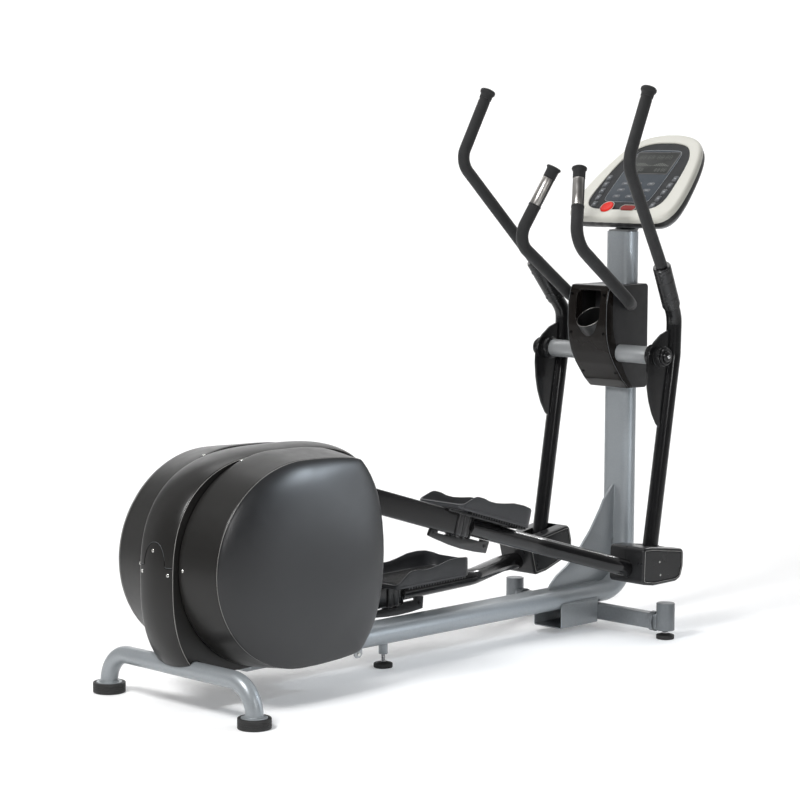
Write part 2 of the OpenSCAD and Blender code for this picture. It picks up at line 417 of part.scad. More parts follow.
module pedal(s) color([0.33,0.34,0.355]) at0() armf(s) rearf() difference() {
  intersection() { slab(10,210,ped);
    translate([50,110,30]) linear_extrude(height=80) union() { translate([-20,0]) rrect(pedal_len-40,pedal_w,22); translate([85,0]) rrect(160,pedal_w,45); } }
  translate([50,110,45]) linear_extrude(height=80) union() { translate([-20,0]) rrect(pedal_len-52,pedal_w-12,16); translate([82,0]) rrect(154,pedal_w-12,40); }
}
module pedal_left() pedal(1);
module pedal_right() pedal(-1);
bx=[[-108,-46],[-98,-54],[-50,-60],[60,-54],[82,-42],[92,-8],[92,34],[84,46],[-60,60],[-100,60],[-109,52]];
bi=[[-104,-43],[-96,-50],[-50,-56],[58,-50],[79,-39],[88,-8],[88,32],[82,42],[-60,56],[-98,56],[-105,50]];
module joint_box(s) color([0.16,0.16,0.17]) at0() armf(s) {
  difference() {
    rotate([0,-13,0]) difference() { slab(lever_y-67,lever_y+67,bx); slab(lever_y-63,lever_y+63,bi);
      translate([-36,lever_y-27,20]) cube([119,54,60]); }
    seg([-175,lever_y,-31],[-80,lever_y,-33.1],arm_r+0.1,0);
  }
  ycyl(0,0,lever_y-64,lever_y+64,10);
  for (t=[-1,1]) ycyl(0,0,t>0?lever_y+22.5:lever_y-64,t>0?lever_y+64:lever_y-22.5,14);
}
module joint_box_left() joint_box(1);
module joint_box_right() joint_box(-1);

main_beam();
column();
column_gusset();
rear_stabilizer();
rear_feet();
front_receiver();
front_crossbar();
levelling_feet();
bearing_plates();
bearings();
shroud_left();
shroud_right();
rim_left();
rim_right();
side_cover_left();
side_cover_right();
cover_screws();
drive_belt();
brake_magnets();
pivot_tube();
pivot_axle();
junction_box();
junction_front();
bottle_cup();
fixed_handlebars();
fixed_grips();
contact_plates();
console_shell();
console_bezel();
console_panel();
console_keys();
console_neck();
stop_button();
start_button();
crank_axle();
crank_arm_left();
crank_arm_right();
drive_pulley();
flywheel();
flywheel_shaft();
lever_tube_right();
lever_plate_right();
lever_hub_right();
handle_sleeve_right();
handlebar_right();
handle_grip_right();
lever_tube_left();
lever_plate_left();
lever_hub_left();
handle_sleeve_left();
handlebar_left();
handle_grip_left();
pedal_arm_right();
pedal_bracket_right();
pedal_right();
joint_box_right();
pedal_arm_left();
pedal_bracket_left();
pedal_left();
joint_box_left();
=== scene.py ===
import bpy, bmesh, math, json
import numpy as np
from mathutils import Vector, Matrix

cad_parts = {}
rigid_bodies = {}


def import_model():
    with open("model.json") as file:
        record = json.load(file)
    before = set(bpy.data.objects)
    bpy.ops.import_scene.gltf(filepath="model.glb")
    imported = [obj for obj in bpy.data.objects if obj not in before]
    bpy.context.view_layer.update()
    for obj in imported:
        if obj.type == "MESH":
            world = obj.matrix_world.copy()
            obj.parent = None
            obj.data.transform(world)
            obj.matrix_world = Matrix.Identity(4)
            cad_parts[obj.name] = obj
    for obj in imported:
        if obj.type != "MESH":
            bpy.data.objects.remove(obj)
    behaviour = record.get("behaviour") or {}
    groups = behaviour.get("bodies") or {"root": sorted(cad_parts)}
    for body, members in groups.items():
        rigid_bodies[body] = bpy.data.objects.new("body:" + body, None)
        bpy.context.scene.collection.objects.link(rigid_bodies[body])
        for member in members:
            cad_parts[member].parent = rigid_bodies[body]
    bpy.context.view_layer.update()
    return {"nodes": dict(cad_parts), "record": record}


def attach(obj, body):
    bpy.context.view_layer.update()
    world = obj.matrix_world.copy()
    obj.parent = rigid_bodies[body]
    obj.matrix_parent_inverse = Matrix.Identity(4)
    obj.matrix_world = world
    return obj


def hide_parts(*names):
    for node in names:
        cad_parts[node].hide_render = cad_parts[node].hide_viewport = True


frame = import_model()
NODES = frame["nodes"]
XR = 1017.237          # station of the row origin, mm
rad = math.radians


# ------------------------------------------------------------------ helpers
def V3(p):
    """mm from the rear-foot line -> metres in the row frame"""
    return ((p[0] - XR) / 1000.0, p[1] / 1000.0, p[2] / 1000.0)


def A(*p):
    return np.array(p, float)


def unit(v):
    return np.asarray(v, float) / np.linalg.norm(v)


def smoothstep(a, b, x):
    t = np.clip((np.asarray(x, float) - a) / (b - a), 0, 1)
    return t * t * (3 - 2 * t)


def mk(name, v, f, mat, body, slot=None, rep=(), angle=35.0, local=False, flip=False):
    """A mesh piece from mm points."""
    me = bpy.data.meshes.new(name)
    pts = np.asarray(v, float)
    if not local:
        pts = (pts - A(XR, 0, 0)) / 1000.0
    me.from_pydata(pts.tolist(), [], [list(map(int, q)) for q in f])
    bm = bmesh.new()
    bm.from_mesh(me)
    bmesh.ops.remove_doubles(bm, verts=bm.verts, dist=1e-6)
    bmesh.ops.dissolve_degenerate(bm, dist=1e-7, edges=bm.edges)
    bmesh.ops.recalc_face_normals(bm, faces=bm.faces)
    if flip:
        bmesh.ops.reverse_faces(bm, faces=bm.faces)
    bm.to_mesh(me)
    bm.free()
    o = bpy.data.objects.new(name, me)
    bpy.context.scene.collection.objects.link(o)
    return dress(o, mat, body, rep, angle)


def dress(o, mat, body, rep=(), angle=35.0):
    if mat is not None:
        o.data.materials.clear()
        o.data.materials.append(mat)
    shade(o, angle)
    if body:
        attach(o, body)
    if rep:
        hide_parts(*rep)
    return o


def shade(o, angle=35.0):
    for p in o.data.polygons:
        p.use_smooth = True
    o.data.set_sharp_from_angle(angle=rad(angle))


def bake_mods(o):
    dg = bpy.context.evaluated_depsgraph_get()
    me = bpy.data.meshes.new_from_object(o.evaluated_get(dg))
    old = o.data
    o.modifiers.clear()
    o.data = me
    bpy.data.meshes.remove(old)
    return o


def bevel(o, width, seg=3, angle=30.0, profile=0.5):
    m = o.modifiers.new("bv", "BEVEL")
    m.width = width / 1000.0
    m.segments = seg
    m.limit_method = "ANGLE"
    m.angle_limit = rad(angle)
    m.profile = profile
    m.use_clamp_overlap = True
    return bake_mods(o)


def boolean(o, cutters, op="DIFFERENCE"):
    for c in cutters:
        m = o.modifiers.new("b", "BOOLEAN")
        m.object = c
        m.operation = op
        m.solver = "EXACT"
        bake_mods(o)
    for c in cutters:
        me = c.data
        bpy.data.objects.remove(c)
        bpy.data.meshes.remove(me)
    return o


def raw(name, v, f):
    """unlinked-to-body helper mesh (a cutter)"""
    me = bpy.data.meshes.new(name)
    pts = (np.asarray(v, float) - A(XR, 0, 0)) / 1000.0
    me.from_pydata(pts.tolist(), [], [list(map(int, q)) for q in f])
    bm = bmesh.new()
    bm.from_mesh(me)
    bmesh.ops.remove_doubles(bm, verts=bm.verts, dist=1e-6)
    bmesh.ops.recalc_face_normals(bm, faces=bm.faces)
    bm.to_mesh(me)
    bm.free()
    o = bpy.data.objects.new(name, me)
    bpy.context.scene.collection.objects.link(o)
    return o


def loft(rings, cap0=True, cap1=True, closed=True):
    """rings: list of (n,3) arrays of equal length -> verts, faces"""
    n = len(rings[0])
    v = np.concatenate(rings)
    f = []
    for k in range(len(rings) - 1):
        a, b = k * n, (k + 1) * n
        for i in range(n if closed else n - 1):
            j = (i + 1) % n
            f.append((a + i, a + j, b + j, b + i))
    if cap0:
        f.append(tuple(range(n))[::-1])
    if cap1:
        f.append(tuple(range((len(rings) - 1) * n, len(rings) * n)))
    return v, f


def merge(parts):
    v, f, o = [], [], 0
    for a, b in parts:
        a = np.asarray(a, float)
        v.append(a)
        f += [tuple(i + o for i in q) for q in b]
        o += len(a)
    return np.concatenate(v), f


def mirror(v):
    v = np.array(v, float)
    v[:, 1] *= -1
    return v


def sided(vf, s):
    v, f = vf
    return (v, f) if s > 0 else (mirror(v), f)


def fillet(P, rb, seg=12):
    """polyline with round corners; rb one number or one per inner corner"""
    P = [np.asarray(p, float) for p in P]
    out = [P[0]]
    for i in range(1, len(P) - 1):
        r = rb[i - 1] if hasattr(rb, "__len__") else rb
        d1, d2 = unit(P[i] - P[i - 1]), unit(P[i + 1] - P[i])
        c = np.clip(d1 @ d2, -1, 1)
        th = math.acos(c)
        if th < 1e-3 or r <= 0:
            out.append(P[i])
            continue
        t = r * math.tan(th / 2)
        ctr = P[i] + unit(d2 - d1) * r / math.cos(th / 2)
        a = P[i] - d1 * t - ctr
        w = unit(np.cross(d1, d2))
        for k in range(seg + 1):
            q = th * k / seg
            out.append(ctr + a * math.cos(q) + np.cross(w, a) * math.sin(q))
    out.append(P[-1])
    return np.array(out)


def resample(path, marks=(), step=8.0):
    """path points with extra points about every step mm and at arc lengths in marks"""
    d = np.r_[0, np.cumsum(np.linalg.norm(np.diff(path, axis=0), axis=1))]
    L = d[-1]
    s = set(np.round(d, 4)) | {round(float(m), 4) for m in marks if 0 <= m <= L}
    for k in range(1, int(L / step)):
        s.add(round(k * step, 4))
    s = np.array(sorted(s))
    s = s[np.r_[True, np.diff(s) > 0.05]]
    return np.stack([np.interp(s, d, path[:, i]) for i in range(3)], 1), s


def frames(path, up=None):
    """parallel-transport frames along a path -> (normals, binormals)"""
    T = np.gradient(path, axis=0)
    T /= np.linalg.norm(T, axis=1)[:, None]
    a = np.asarray(up if up is not None else ((0, 0, 1) if abs(T[0][2]) < 0.9 else (1, 0, 0)), float)
    n = unit(a - (a @ T[0]) * T[0])
    N = [n]
    for i in range(1, len(path)):
        n = n - (n @ T[i]) * T[i]
        n = unit(n)
        N.append(n)
    N = np.array(N)
    return T, N, np.cross(T, N)


def sweep(path, r, n=32, caps=True, up=None):
    """round tube; r a number, or an array with one radius per path point"""
    T, N, Bn = frames(path, up)
    rings = []
    for i, p in enumerate(path):
        ri = r[i] if hasattr(r, "__len__") else r
        t = np.arange(n) * 2 * math.pi / n
        rings.append(p + ri * (np.cos(t)[:, None] * N[i] + np.sin(t)[:, None] * Bn[i]))
    return loft(rings, caps, caps)


def sweep_section(path, sec, caps=True, up=None):
    T, N, Bn = frames(path, up)
    sec = np.asarray(sec, float)
    return loft([p + sec[:, :1] * N[i] + sec[:, 1:] * Bn[i] for i, p in enumerate(path)], caps, caps)


def turned(profile, centre, axis, n=48, caps=True, ref=None):
    """surface of revolution: profile [(along, radius), ...]"""
    z = unit(axis)
    x = unit(np.cross((0, 0, 1) if abs(z[2]) < 0.9 else (1, 0, 0), z)) if ref is None else unit(ref)
    y = np.cross(z, x)
    t = np.arange(n) * 2 * math.pi / n
    rings = [np.asarray(centre, float) + z * a + max(b, 1e-3) * (np.cos(t)[:, None] * x + np.sin(t)[:, None] * y) for a, b in profile]
    return loft(rings, caps, caps)


def oval(d, w, n=14, sx=0.0):
    """flat-oval section: depth d, width w -> (N,2) points (depth axis, width axis)"""
    r, c = d / 2.0, (w - d) / 2.0
    out = []
    for k in range(n + 1):
        t = math.pi * k / n
        out.append((r * math.cos(t), c + r * math.sin(t)))
    for k in range(n + 1):
        t = math.pi + math.pi * k / n
        out.append((r * math.cos(t), -c + r * math.sin(t)))
    return np.array(out)


def rrect(w, h, r, n=5):
    out = []
    for cx, cy, a0 in ((w / 2 - r, h / 2 - r, 0), (-w / 2 + r, h / 2 - r, 90), (-w / 2 + r, -h / 2 + r, 180), (w / 2 - r, -h / 2 + r, 270)):
        for k in range(n + 1):
            a = rad(a0 + 90.0 * k / n)
            out.append((cx + r * math.cos(a), cy + r * math.sin(a)))
    return np.array(out)


def round_poly(P, r, n=5):
    """2-D polygon with rounded corners (r one number or a list)"""
    P = [np.asarray(p, float) for p in P]
    out = []
    m = len(P)
    for i in range(m):
        a, b, c = P[i - 1], P[i], P[(i + 1) % m]
        ri = r[i] if hasattr(r, "__len__") else r
        d1, d2 = unit(b - a), unit(c - b)
        th = math.acos(np.clip(d1 @ d2, -1, 1))
        if th < 0.02 or ri <= 0:
            out.append(b)
            continue
        t = min(ri * math.tan(th / 2), 0.49 * np.linalg.norm(b - a), 0.49 * np.linalg.norm(c - b))
        rr = t / math.tan(th / 2)
        ctr = b + unit(d2 - d1) * rr / math.cos(th / 2)
        v = b - d1 * t - ctr
        sgn = 1.0 if d1[0] * d2[1] - d1[1] * d2[0] > 0 else -1.0
        for k in range(n + 1):
            q = th * k / n * sgn
            out.append(ctr + A(v[0] * math.cos(q) - v[1] * math.sin(q), v[0] * math.sin(q) + v[1] * math.cos(q)))
    return np.array(out)


def prism(pts, a, b, axis="y", edge=0.0, seg=3):
    """outline (2-D) pushed from a to b along an axis, as (verts, faces)"""
    pts = np.asarray(pts, float)

    def ring(q, h):
        if axis == "y":
            return np.stack([q[:, 0], np.full(len(q), h), q[:, 1]], 1)
        if axis == "z":
            return np.stack([q[:, 0], q[:, 1], np.full(len(q), h)], 1)
        return np.stack([np.full(len(q), h), q[:, 0], q[:, 1]], 1)
    if edge <= 0:
        return loft([ring(pts, a), ring(pts, b)])
    s = 1.0 if b > a else -1.0
    rings = []
    for k in range(seg + 1):
        t = math.pi / 2 * k / seg
        rings.append(ring(inset(pts, edge * (1 - math.sin(t))), a + s * edge * (1 - math.cos(t))))
    for k in range(seg + 1):
        t = math.pi / 2 * k / seg
        rings.append(ring(inset(pts, edge * (1 - math.cos(t))), b - s * edge * (1 - math.sin(t))))
    return loft(rings)


def inset(pts, d):
    """moves each point of a closed 2-D outline inwards by d (mitred)"""
    pts = np.asarray(pts, float)
    if abs(d) < 1e-9:
        return pts.copy()
    area = 0.5 * np.sum(pts[:, 0] * np.roll(pts[:, 1], -1) - np.roll(pts[:, 0], -1) * pts[:, 1])
    sg = 1.0 if area > 0 else -1.0
    p0, p1 = np.roll(pts, 1, 0), np.roll(pts, -1, 0)
    e1, e2 = pts - p0, p1 - pts
    e1 /= np.maximum(np.linalg.norm(e1, axis=1), 1e-9)[:, None]
    e2 /= np.maximum(np.linalg.norm(e2, axis=1), 1e-9)[:, None]
    n1 = np.stack([-e1[:, 1], e1[:, 0]], 1) * sg
    n2 = np.stack([-e2[:, 1], e2[:, 0]], 1) * sg
    b = n1 + n2
    b /= np.maximum((b * b).sum(1), 1e-9)[:, None]
    m = b * 2
    L = np.linalg.norm(m, axis=1)
    m *= (np.minimum(L, 1.6) / np.maximum(L, 1e-9))[:, None]
    return pts + m * d


def superellipse(cx, cz, ar, af, bt, bb, nr, nf, n=144):
    t = (np.arange(n) + 0.5) * 2 * math.pi / n
    c, s = np.cos(t), np.sin(t)
    a = np.where(c < 0, ar, af)
    e = np.where(c < 0, nr, nf)
    b = np.where(s < 0, bb, bt)
    return np.stack([cx + np.sign(c) * a * np.abs(c) ** (2 / e), cz + np.sign(s) * b * np.abs(s) ** (2 / e)], 1)


def ring_y(q, y):
    return np.stack([q[:, 0], np.full(len(q), float(y)), q[:, 1]], 1)


# ------------------------------------------------------------------ materials
def material(name, base, rough=0.5, metal=0.0, coat=0.0, coat_rough=0.1, var=0.08, vscale=9.0, rvar=0.08, rscale=35.0,
             bump=0.25, bscale=900.0, bdist=0.0002, grain="noise", spec=0.5, sheen=0.0, wave=None, stretch=None,
             wear=0.0, wear_col=(0.5, 0.5, 0.5), mottle=0.0):
    m = bpy.data.materials.new(name)
    m.use_nodes = True
    nt = m.node_tree
    nt.nodes.clear()
    N = nt.nodes.new
    L = nt.links.new
    out = N("ShaderNodeOutputMaterial")
    b = N("ShaderNodeBsdfPrincipled")
    L(b.outputs[0], out.inputs[0])
    b.inputs["Metallic"].default_value = metal
    b.inputs["Coat Weight"].default_value = coat
    b.inputs["Coat Roughness"].default_value = coat_rough
    b.inputs["Specular IOR Level"].default_value = spec
    b.inputs["Sheen Weight"].default_value = sheen
    tc = N("ShaderNodeTexCoord")
    src = tc.outputs["Object"]
    if stretch:
        mp = N("ShaderNodeMapping")
        mp.inputs["Scale"].default_value = stretch
        L(src, mp.inputs[0])
        fine_src = mp.outputs[0]
    else:
        fine_src = src
    n1 = N("ShaderNodeTexNoise")
    n1.inputs["Scale"].default_value = vscale
    n1.inputs["Detail"].default_value = 5.0
    n1.inputs["Roughness"].default_value = 0.6
    L(src, n1.inputs["Vector"])
    cr = N("ShaderNodeValToRGB")
    lo = [max(0.0, c * (1 - var)) for c in base]
    hi = [min(1.0, c * (1 + var)) for c in base]
    cr.color_ramp.elements[0].position = 0.3
    cr.color_ramp.elements[0].color = (*lo, 1)
    cr.color_ramp.elements[1].position = 0.7
    cr.color_ramp.elements[1].color = (*hi, 1)
    L(n1.outputs["Fac"], cr.inputs[0])
    col = cr.outputs[0]
    if mottle > 0:
        n4 = N("ShaderNodeTexNoise")
        n4.inputs["Scale"].default_value = bscale * 0.5
        n4.inputs["Detail"].default_value = 3.0
        L(fine_src, n4.inputs["Vector"])
        mr4 = N("ShaderNodeMapRange")
        mr4.inputs["From Min"].default_value = 0.3
        mr4.inputs["From Max"].default_value = 0.7
        mr4.inputs["To Min"].default_value = 1 - mottle
        mr4.inputs["To Max"].default_value = 1 + mottle
        L(n4.outputs["Fac"], mr4.inputs["Value"])
        mx = N("ShaderNodeMix")
        mx.data_type = "RGBA"
        mx.blend_type = "MULTIPLY"
        mx.inputs["Factor"].default_value = 1.0
        L(col, mx.inputs["A"])
        L(mr4.outputs[0], mx.inputs["B"])
        col = mx.outputs["Result"]
    if wear > 0:
        ge = N("ShaderNodeNewGeometry")
        w1 = N("ShaderNodeMapRange")
        w1.inputs["From Min"].default_value = 0.52
        w1.inputs["From Max"].default_value = 0.62
        w1.inputs["To Max"].default_value = wear
        L(ge.outputs["Pointiness"], w1.inputs["Value"])
        n5 = N("ShaderNodeTexNoise")
        n5.inputs["Scale"].default_value = 120.0
        n5.inputs["Detail"].default_value = 4.0
        L(src, n5.inputs["Vector"])
        w2 = N("ShaderNodeMath")
        w2.operation = "MULTIPLY"
        L(w1.outputs[0], w2.inputs[0])
        L(n5.outputs["Fac"], w2.inputs[1])
        mw = N("ShaderNodeMix")
        mw.data_type = "RGBA"
        L(w2.outputs[0], mw.inputs["Factor"])
        L(col, mw.inputs["A"])
        mw.inputs["B"].default_value = (*wear_col, 1)
        col = mw.outputs["Result"]
    L(col, b.inputs["Base Color"])
    n2 = N("ShaderNodeTexNoise")
    n2.inputs["Scale"].default_value = rscale
    n2.inputs["Detail"].default_value = 4.0
    L(src, n2.inputs["Vector"])
    mr = N("ShaderNodeMapRange")
    mr.inputs["From Min"].default_value = 0.3
    mr.inputs["From Max"].default_value = 0.7
    mr.inputs["To Min"].default_value = max(0.03, rough - rvar)
    mr.inputs["To Max"].default_value = min(1.0, rough + rvar)
    L(n2.outputs["Fac"], mr.inputs["Value"])
    L(mr.outputs[0], b.inputs["Roughness"])
    if bump > 0:
        if grain == "voronoi":
            g = N("ShaderNodeTexVoronoi")
            g.inputs["Scale"].default_value = bscale
            L(fine_src, g.inputs["Vector"])
            gh = g.outputs["Distance"]
        elif grain == "wave":
            g = N("ShaderNodeTexWave")
            g.inputs["Scale"].default_value = bscale
            g.inputs["Distortion"].default_value = 0.6
            g.bands_direction = wave or "X"
            L(fine_src, g.inputs["Vector"])
            gh = g.outputs["Fac"]
        else:
            g = N("ShaderNodeTexNoise")
            g.inputs["Scale"].default_value = bscale
            g.inputs["Detail"].default_value = 3.0
            L(fine_src, g.inputs["Vector"])
            gh = g.outputs["Fac"]
        bu = N("ShaderNodeBump")
        bu.inputs["Strength"].default_value = bump
        bu.inputs["Distance"].default_value = bdist
        L(gh, bu.inputs["Height"])
        L(bu.outputs[0], b.inputs["Normal"])
    return m


M_SILVER = material("silver_coat", (0.288, 0.310, 0.326), 0.38, metal=0.35, coat=0.25, coat_rough=0.22, var=0.035, bump=0.12, bscale=420, bdist=0.0002, rvar=0.04, mottle=0.03, wear=0.25, wear_col=(0.62, 0.64, 0.66))
# darker copy of the silver paint for the front cross bar and its posts: painted shade
M_SILVER_SHADED = material("silver_coat_dull", (0.155, 0.168, 0.178), 0.40, metal=0.3, coat=0.15, coat_rough=0.25, var=0.05, bump=0.12, bscale=420, bdist=0.0002, rvar=0.04, wear=0.25, wear_col=(0.5, 0.52, 0.54))
M_GREY = material("grey_coat", (0.29, 0.30, 0.305), 0.42, metal=0.35, coat=0.15, coat_rough=0.3, var=0.04, bump=0.12, bscale=500)
M_COVER = material("cover_charcoal", (0.0165, 0.0168, 0.0178), 0.31, coat=0.0, var=0.07, vscale=5, bump=0.08, bscale=1500, bdist=0.00012, grain="voronoi", rvar=0.03, spec=0.42, mottle=0.0)
M_RIM = material("rim_charcoal", (0.0145, 0.0140, 0.0133), 0.33, var=0.07, vscale=5, bump=0.07, bscale=1500, bdist=0.00012, grain="voronoi", rvar=0.03, spec=0.27, mottle=0.0)
M_SHROUD = material("shroud_charcoal", (0.0135, 0.0130, 0.0124), 0.32, var=0.07, vscale=5, bump=0.07, bscale=1500, bdist=0.00012, grain="voronoi", rvar=0.03, spec=0.27, mottle=0.0)
M_BLACK = material("gloss_black_coat", (0.0075, 0.0075, 0.0080), 0.20, metal=0.0, coat=0.14, coat_rough=0.08, var=0.10, bump=0.12, bscale=260, bdist=0.0003, rvar=0.03, spec=0.34, wear=0.2, wear_col=(0.09, 0.09, 0.09))
M_BRACKET = material("satin_black_coat", (0.016, 0.016, 0.017), 0.36, coat=0.2, coat_rough=0.25, var=0.1, bump=0.15, bscale=350, bdist=0.0003)
M_FOAM = material("grip_foam", (0.0155, 0.0157, 0.0163), 0.72, var=0.12, vscale=30, bump=0.6, bscale=1300, bdist=0.0005, rvar=0.05, sheen=0.15, spec=0.35, mottle=0.22)
M_RUBBER = material("foot_rubber", (0.018, 0.018, 0.018), 0.62, var=0.15, vscale=25, bump=0.4, bscale=900, bdist=0.0003, mottle=0.12)
M_STEEL = material("bright_steel", (0.62, 0.62, 0.63), 0.24, metal=1.0, var=0.05, bump=0.12, bscale=700, bdist=0.0001, stretch=(1, 18, 1))
# contact metal; also laid as a bright ring on the bottle cup's rim, a painted highlight
M_SENSOR_AND_RIM_HIGHLIGHT = material("contact_metal", (0.42, 0.405, 0.385), 0.34, metal=1.0, var=0.05, bump=0.18, bscale=500, bdist=0.0001, stretch=(6, 6, 0.3), rvar=0.05)
M_CREAM = material("bezel_cream", (0.60, 0.592, 0.535), 0.42, var=0.02, bump=0.14, bscale=1400, bdist=0.0001, rvar=0.04, coat=0.08, coat_rough=0.3, mottle=0.02)
M_BACK = material("console_back_grey", (0.13, 0.135, 0.14), 0.46, var=0.06, bump=0.3, bscale=1300, bdist=0.00015, grain="voronoi")
M_BAND = material("console_band_black", (0.012, 0.012, 0.012), 0.35, var=0.1, bump=0.15, bscale=900, bdist=0.0001)
M_PANEL = material("panel_dark", (0.010, 0.011, 0.013), 0.44, spec=0.15, var=0.05, bump=0.18, bscale=1600, bdist=0.00008, rvar=0.04)
M_OVERLAY = material("overlay_blue_grey", (0.040, 0.050, 0.062), 0.46, spec=0.15, var=0.05, vscale=16, bump=0.22, bscale=1800, bdist=0.00007, rvar=0.05, mottle=0.05)
M_GLASS = material("display_window", (0.013, 0.0145, 0.013), 0.32, var=0.12, vscale=11, bump=0.02, bscale=200, rvar=0.03, spec=0.12)
M_KEY = material("key_cap", (0.055, 0.060, 0.068), 0.36, spec=0.35, var=0.06, bump=0.12, bscale=1500, bdist=0.00008)
# key ring colour; also used for the light lines at the junction front's edges and along the shroud hatch, which are
# painted highlights
M_KEYRIM_AND_EDGE_HIGHLIGHT = material("key_ring", (0.11, 0.118, 0.125), 0.42, spec=0.35, var=0.06, bump=0.1, bscale=1500, bdist=0.00008)
M_INK = material("overlay_ink", (0.30, 0.32, 0.34), 0.5, var=0.03, bump=0.05, bscale=1500, bdist=0.00005)
M_RED = material("button_red", (0.72, 0.022, 0.012), 0.40, var=0.08, vscale=40, bump=0.10, bscale=900, bdist=0.0001, spec=0.15)
M_RED2 = material("button_red_dark", (0.30, 0.014, 0.010), 0.42, var=0.08, vscale=40, bump=0.10, bscale=900, bdist=0.0001, spec=0.15)
M_GLOSS = material("gloss_brown_black", (0.0085, 0.0070, 0.0060), 0.20, spec=0.18, coat=0.0, coat_rough=0.08, var=0.12, bump=0.05, bscale=120, bdist=0.0002, rvar=0.03)
M_SATIN = material("satin_dark_side", (0.021, 0.021, 0.0225), 0.42, var=0.07, bump=0.12, bscale=1400, bdist=0.00014, grain="voronoi", mottle=0.05)
M_CUP = material("cup_black", (0.007, 0.007, 0.007), 0.40, var=0.1, bump=0.2, bscale=900, bdist=0.0002)
M_PEDAL = material("pedal_grey", (0.034, 0.0355, 0.039), 0.40, var=0.06, vscale=12, bump=0.32, bscale=1200, bdist=0.00016, grain="voronoi", mottle=0.06, wear=0.15, wear_col=(0.25, 0.25, 0.26))
M_MAT = material("tread_mat", (0.02, 0.02, 0.021), 0.58, var=0.15, vscale=25, bump=0.35, bscale=800, bdist=0.0003, mottle=0.1)
M_BOX = material("joint_charcoal", (0.014, 0.0142, 0.015), 0.29, spec=0.35, var=0.05, vscale=10, bump=0.02, bscale=1400, bdist=0.00013, grain="voronoi", rvar=0.02, mottle=0.0)
# light grey for thin lines along seams, lips and panel outlines: painted highlight
M_EDGE_HIGHLIGHT = material("edge_sheen", (0.26, 0.255, 0.245), 0.30, var=0.2, vscale=14, bump=0.1, bscale=600, bdist=0.0001, rvar=0.05)
M_DARK = material("dark_recess", (0.003, 0.003, 0.003), 0.6, spec=0.05, var=0.1, bump=0.1, bscale=300)
M_SLEEVE = material("sleeve_black", (0.010, 0.010, 0.0105), 0.28, mottle=0.0, var=0.06, bump=0.08, bscale=1100, bdist=0.00015, rvar=0.02, wear=0.05, wear_col=(0.12, 0.12, 0.12))
M_IRON = material("turned_iron", (0.28, 0.28, 0.29), 0.35, metal=0.9, var=0.08, bump=0.25, bscale=300, bdist=0.0002)
M_ALU = material("pulley_alu", (0.33, 0.33, 0.34), 0.38, metal=0.9, var=0.06, bump=0.2, bscale=400, bdist=0.0001)
M_BELT = material("belt_rubber", (0.014, 0.014, 0.014), 0.6, var=0.12, bump=0.4, bscale=600, bdist=0.0003)
M_ZINC = material("zinc_screw", (0.60, 0.60, 0.58), 0.28, metal=1.0, var=0.06, bump=0.15, bscale=900, bdist=0.0001)

SLOT_MAT = {"silver_paint": M_SILVER, "plate_paint": M_GREY, "foot_rubber": M_RUBBER, "shroud_plastic": M_SHROUD, "rim_plastic": M_RIM,
            "cover_plastic": M_COVER, "bright_steel": M_STEEL, "belt_rubber": M_BELT, "magnet_steel": M_STEEL, "grey_paint": M_GREY,
            "black_fittings": M_BLACK, "box_satin": M_SATIN, "box_gloss": M_GLOSS, "cup_plastic": M_CUP, "bar_steel": M_BRACKET,
            "grip_foam": M_FOAM, "sensor_metal": M_SENSOR_AND_RIM_HIGHLIGHT, "console_back": M_BACK, "console_cream": M_CREAM, "console_dark": M_PANEL,
            "console_keys": M_KEY, "button_red": M_RED, "crank_steel": M_BRACKET, "pulley_metal": M_ALU, "flywheel_iron": M_IRON,
            "black_paint": M_BLACK, "sleeve_plastic": M_SLEEVE, "bracket_paint": M_BRACKET, "pedal_plastic": M_PEDAL, "joint_plastic": M_BOX}
slot_of = {s["node"]: s["material_slot"] for s in frame["record"]["subparts"]}
for n, o in NODES.items():
    o.data.materials.clear()
    o.data.materials.append(SLOT_MAT[slot_of[n]])

# ------------------------------------------------------------------ housing
SEAM = (270, 388, 312, 302, 283, 283)
RIMI = (270, 390, 335, 340, 299, 300)
SHR = (309, 356, 399, 375, 336, 345)


def shell(outer, inner):
    """closed shell from outer and inner ring lists, both running from the open edge to the far end"""
    rings = [r for r in inner[::-1]] + [r for r in outer]
    return loft(rings, True, True)


FRONT_D = [(0.0, 1.0), (0.15, 0.999), (0.30, 0.993), (0.45, 0.983), (0.58, 0.968), (0.66, 0.955), (0.705, 0.938), (0.74, 0.90), (0.78, 0.85), (0.83, 0.775), (0.88, 0.68), (0.92, 0.58), (0.955, 0.45), (0.98, 0.30), (0.995, 0.15), (1.0, 0.0)]
TH = np.concatenate([np.linspace(0, 43, 30, endpoint=False), np.linspace(43, 60, 30, endpoint=False), np.linspace(60, 300, 150, endpoint=False), np.linspace(300, 317, 30, endpoint=False), np.linspace(317, 360, 30, endpoint=False)])


def polar_radius(pts):
    """radius about (270, 388) of a closed outline at the fixed angle table"""
    q = np.asarray(pts, float) - A(270, 388)
    a = np.degrees(np.arctan2(q[:, 1], q[:, 0])) % 360
    o = np.argsort(a)
    a, r = a[o], np.hypot(q[o, 0], q[o, 1])
    a = np.concatenate([a[-3:] - 360, a, a[:3] + 360])
    r = np.concatenate([r[-3:], r, r[:3]])
    return np.interp(TH, a, r)


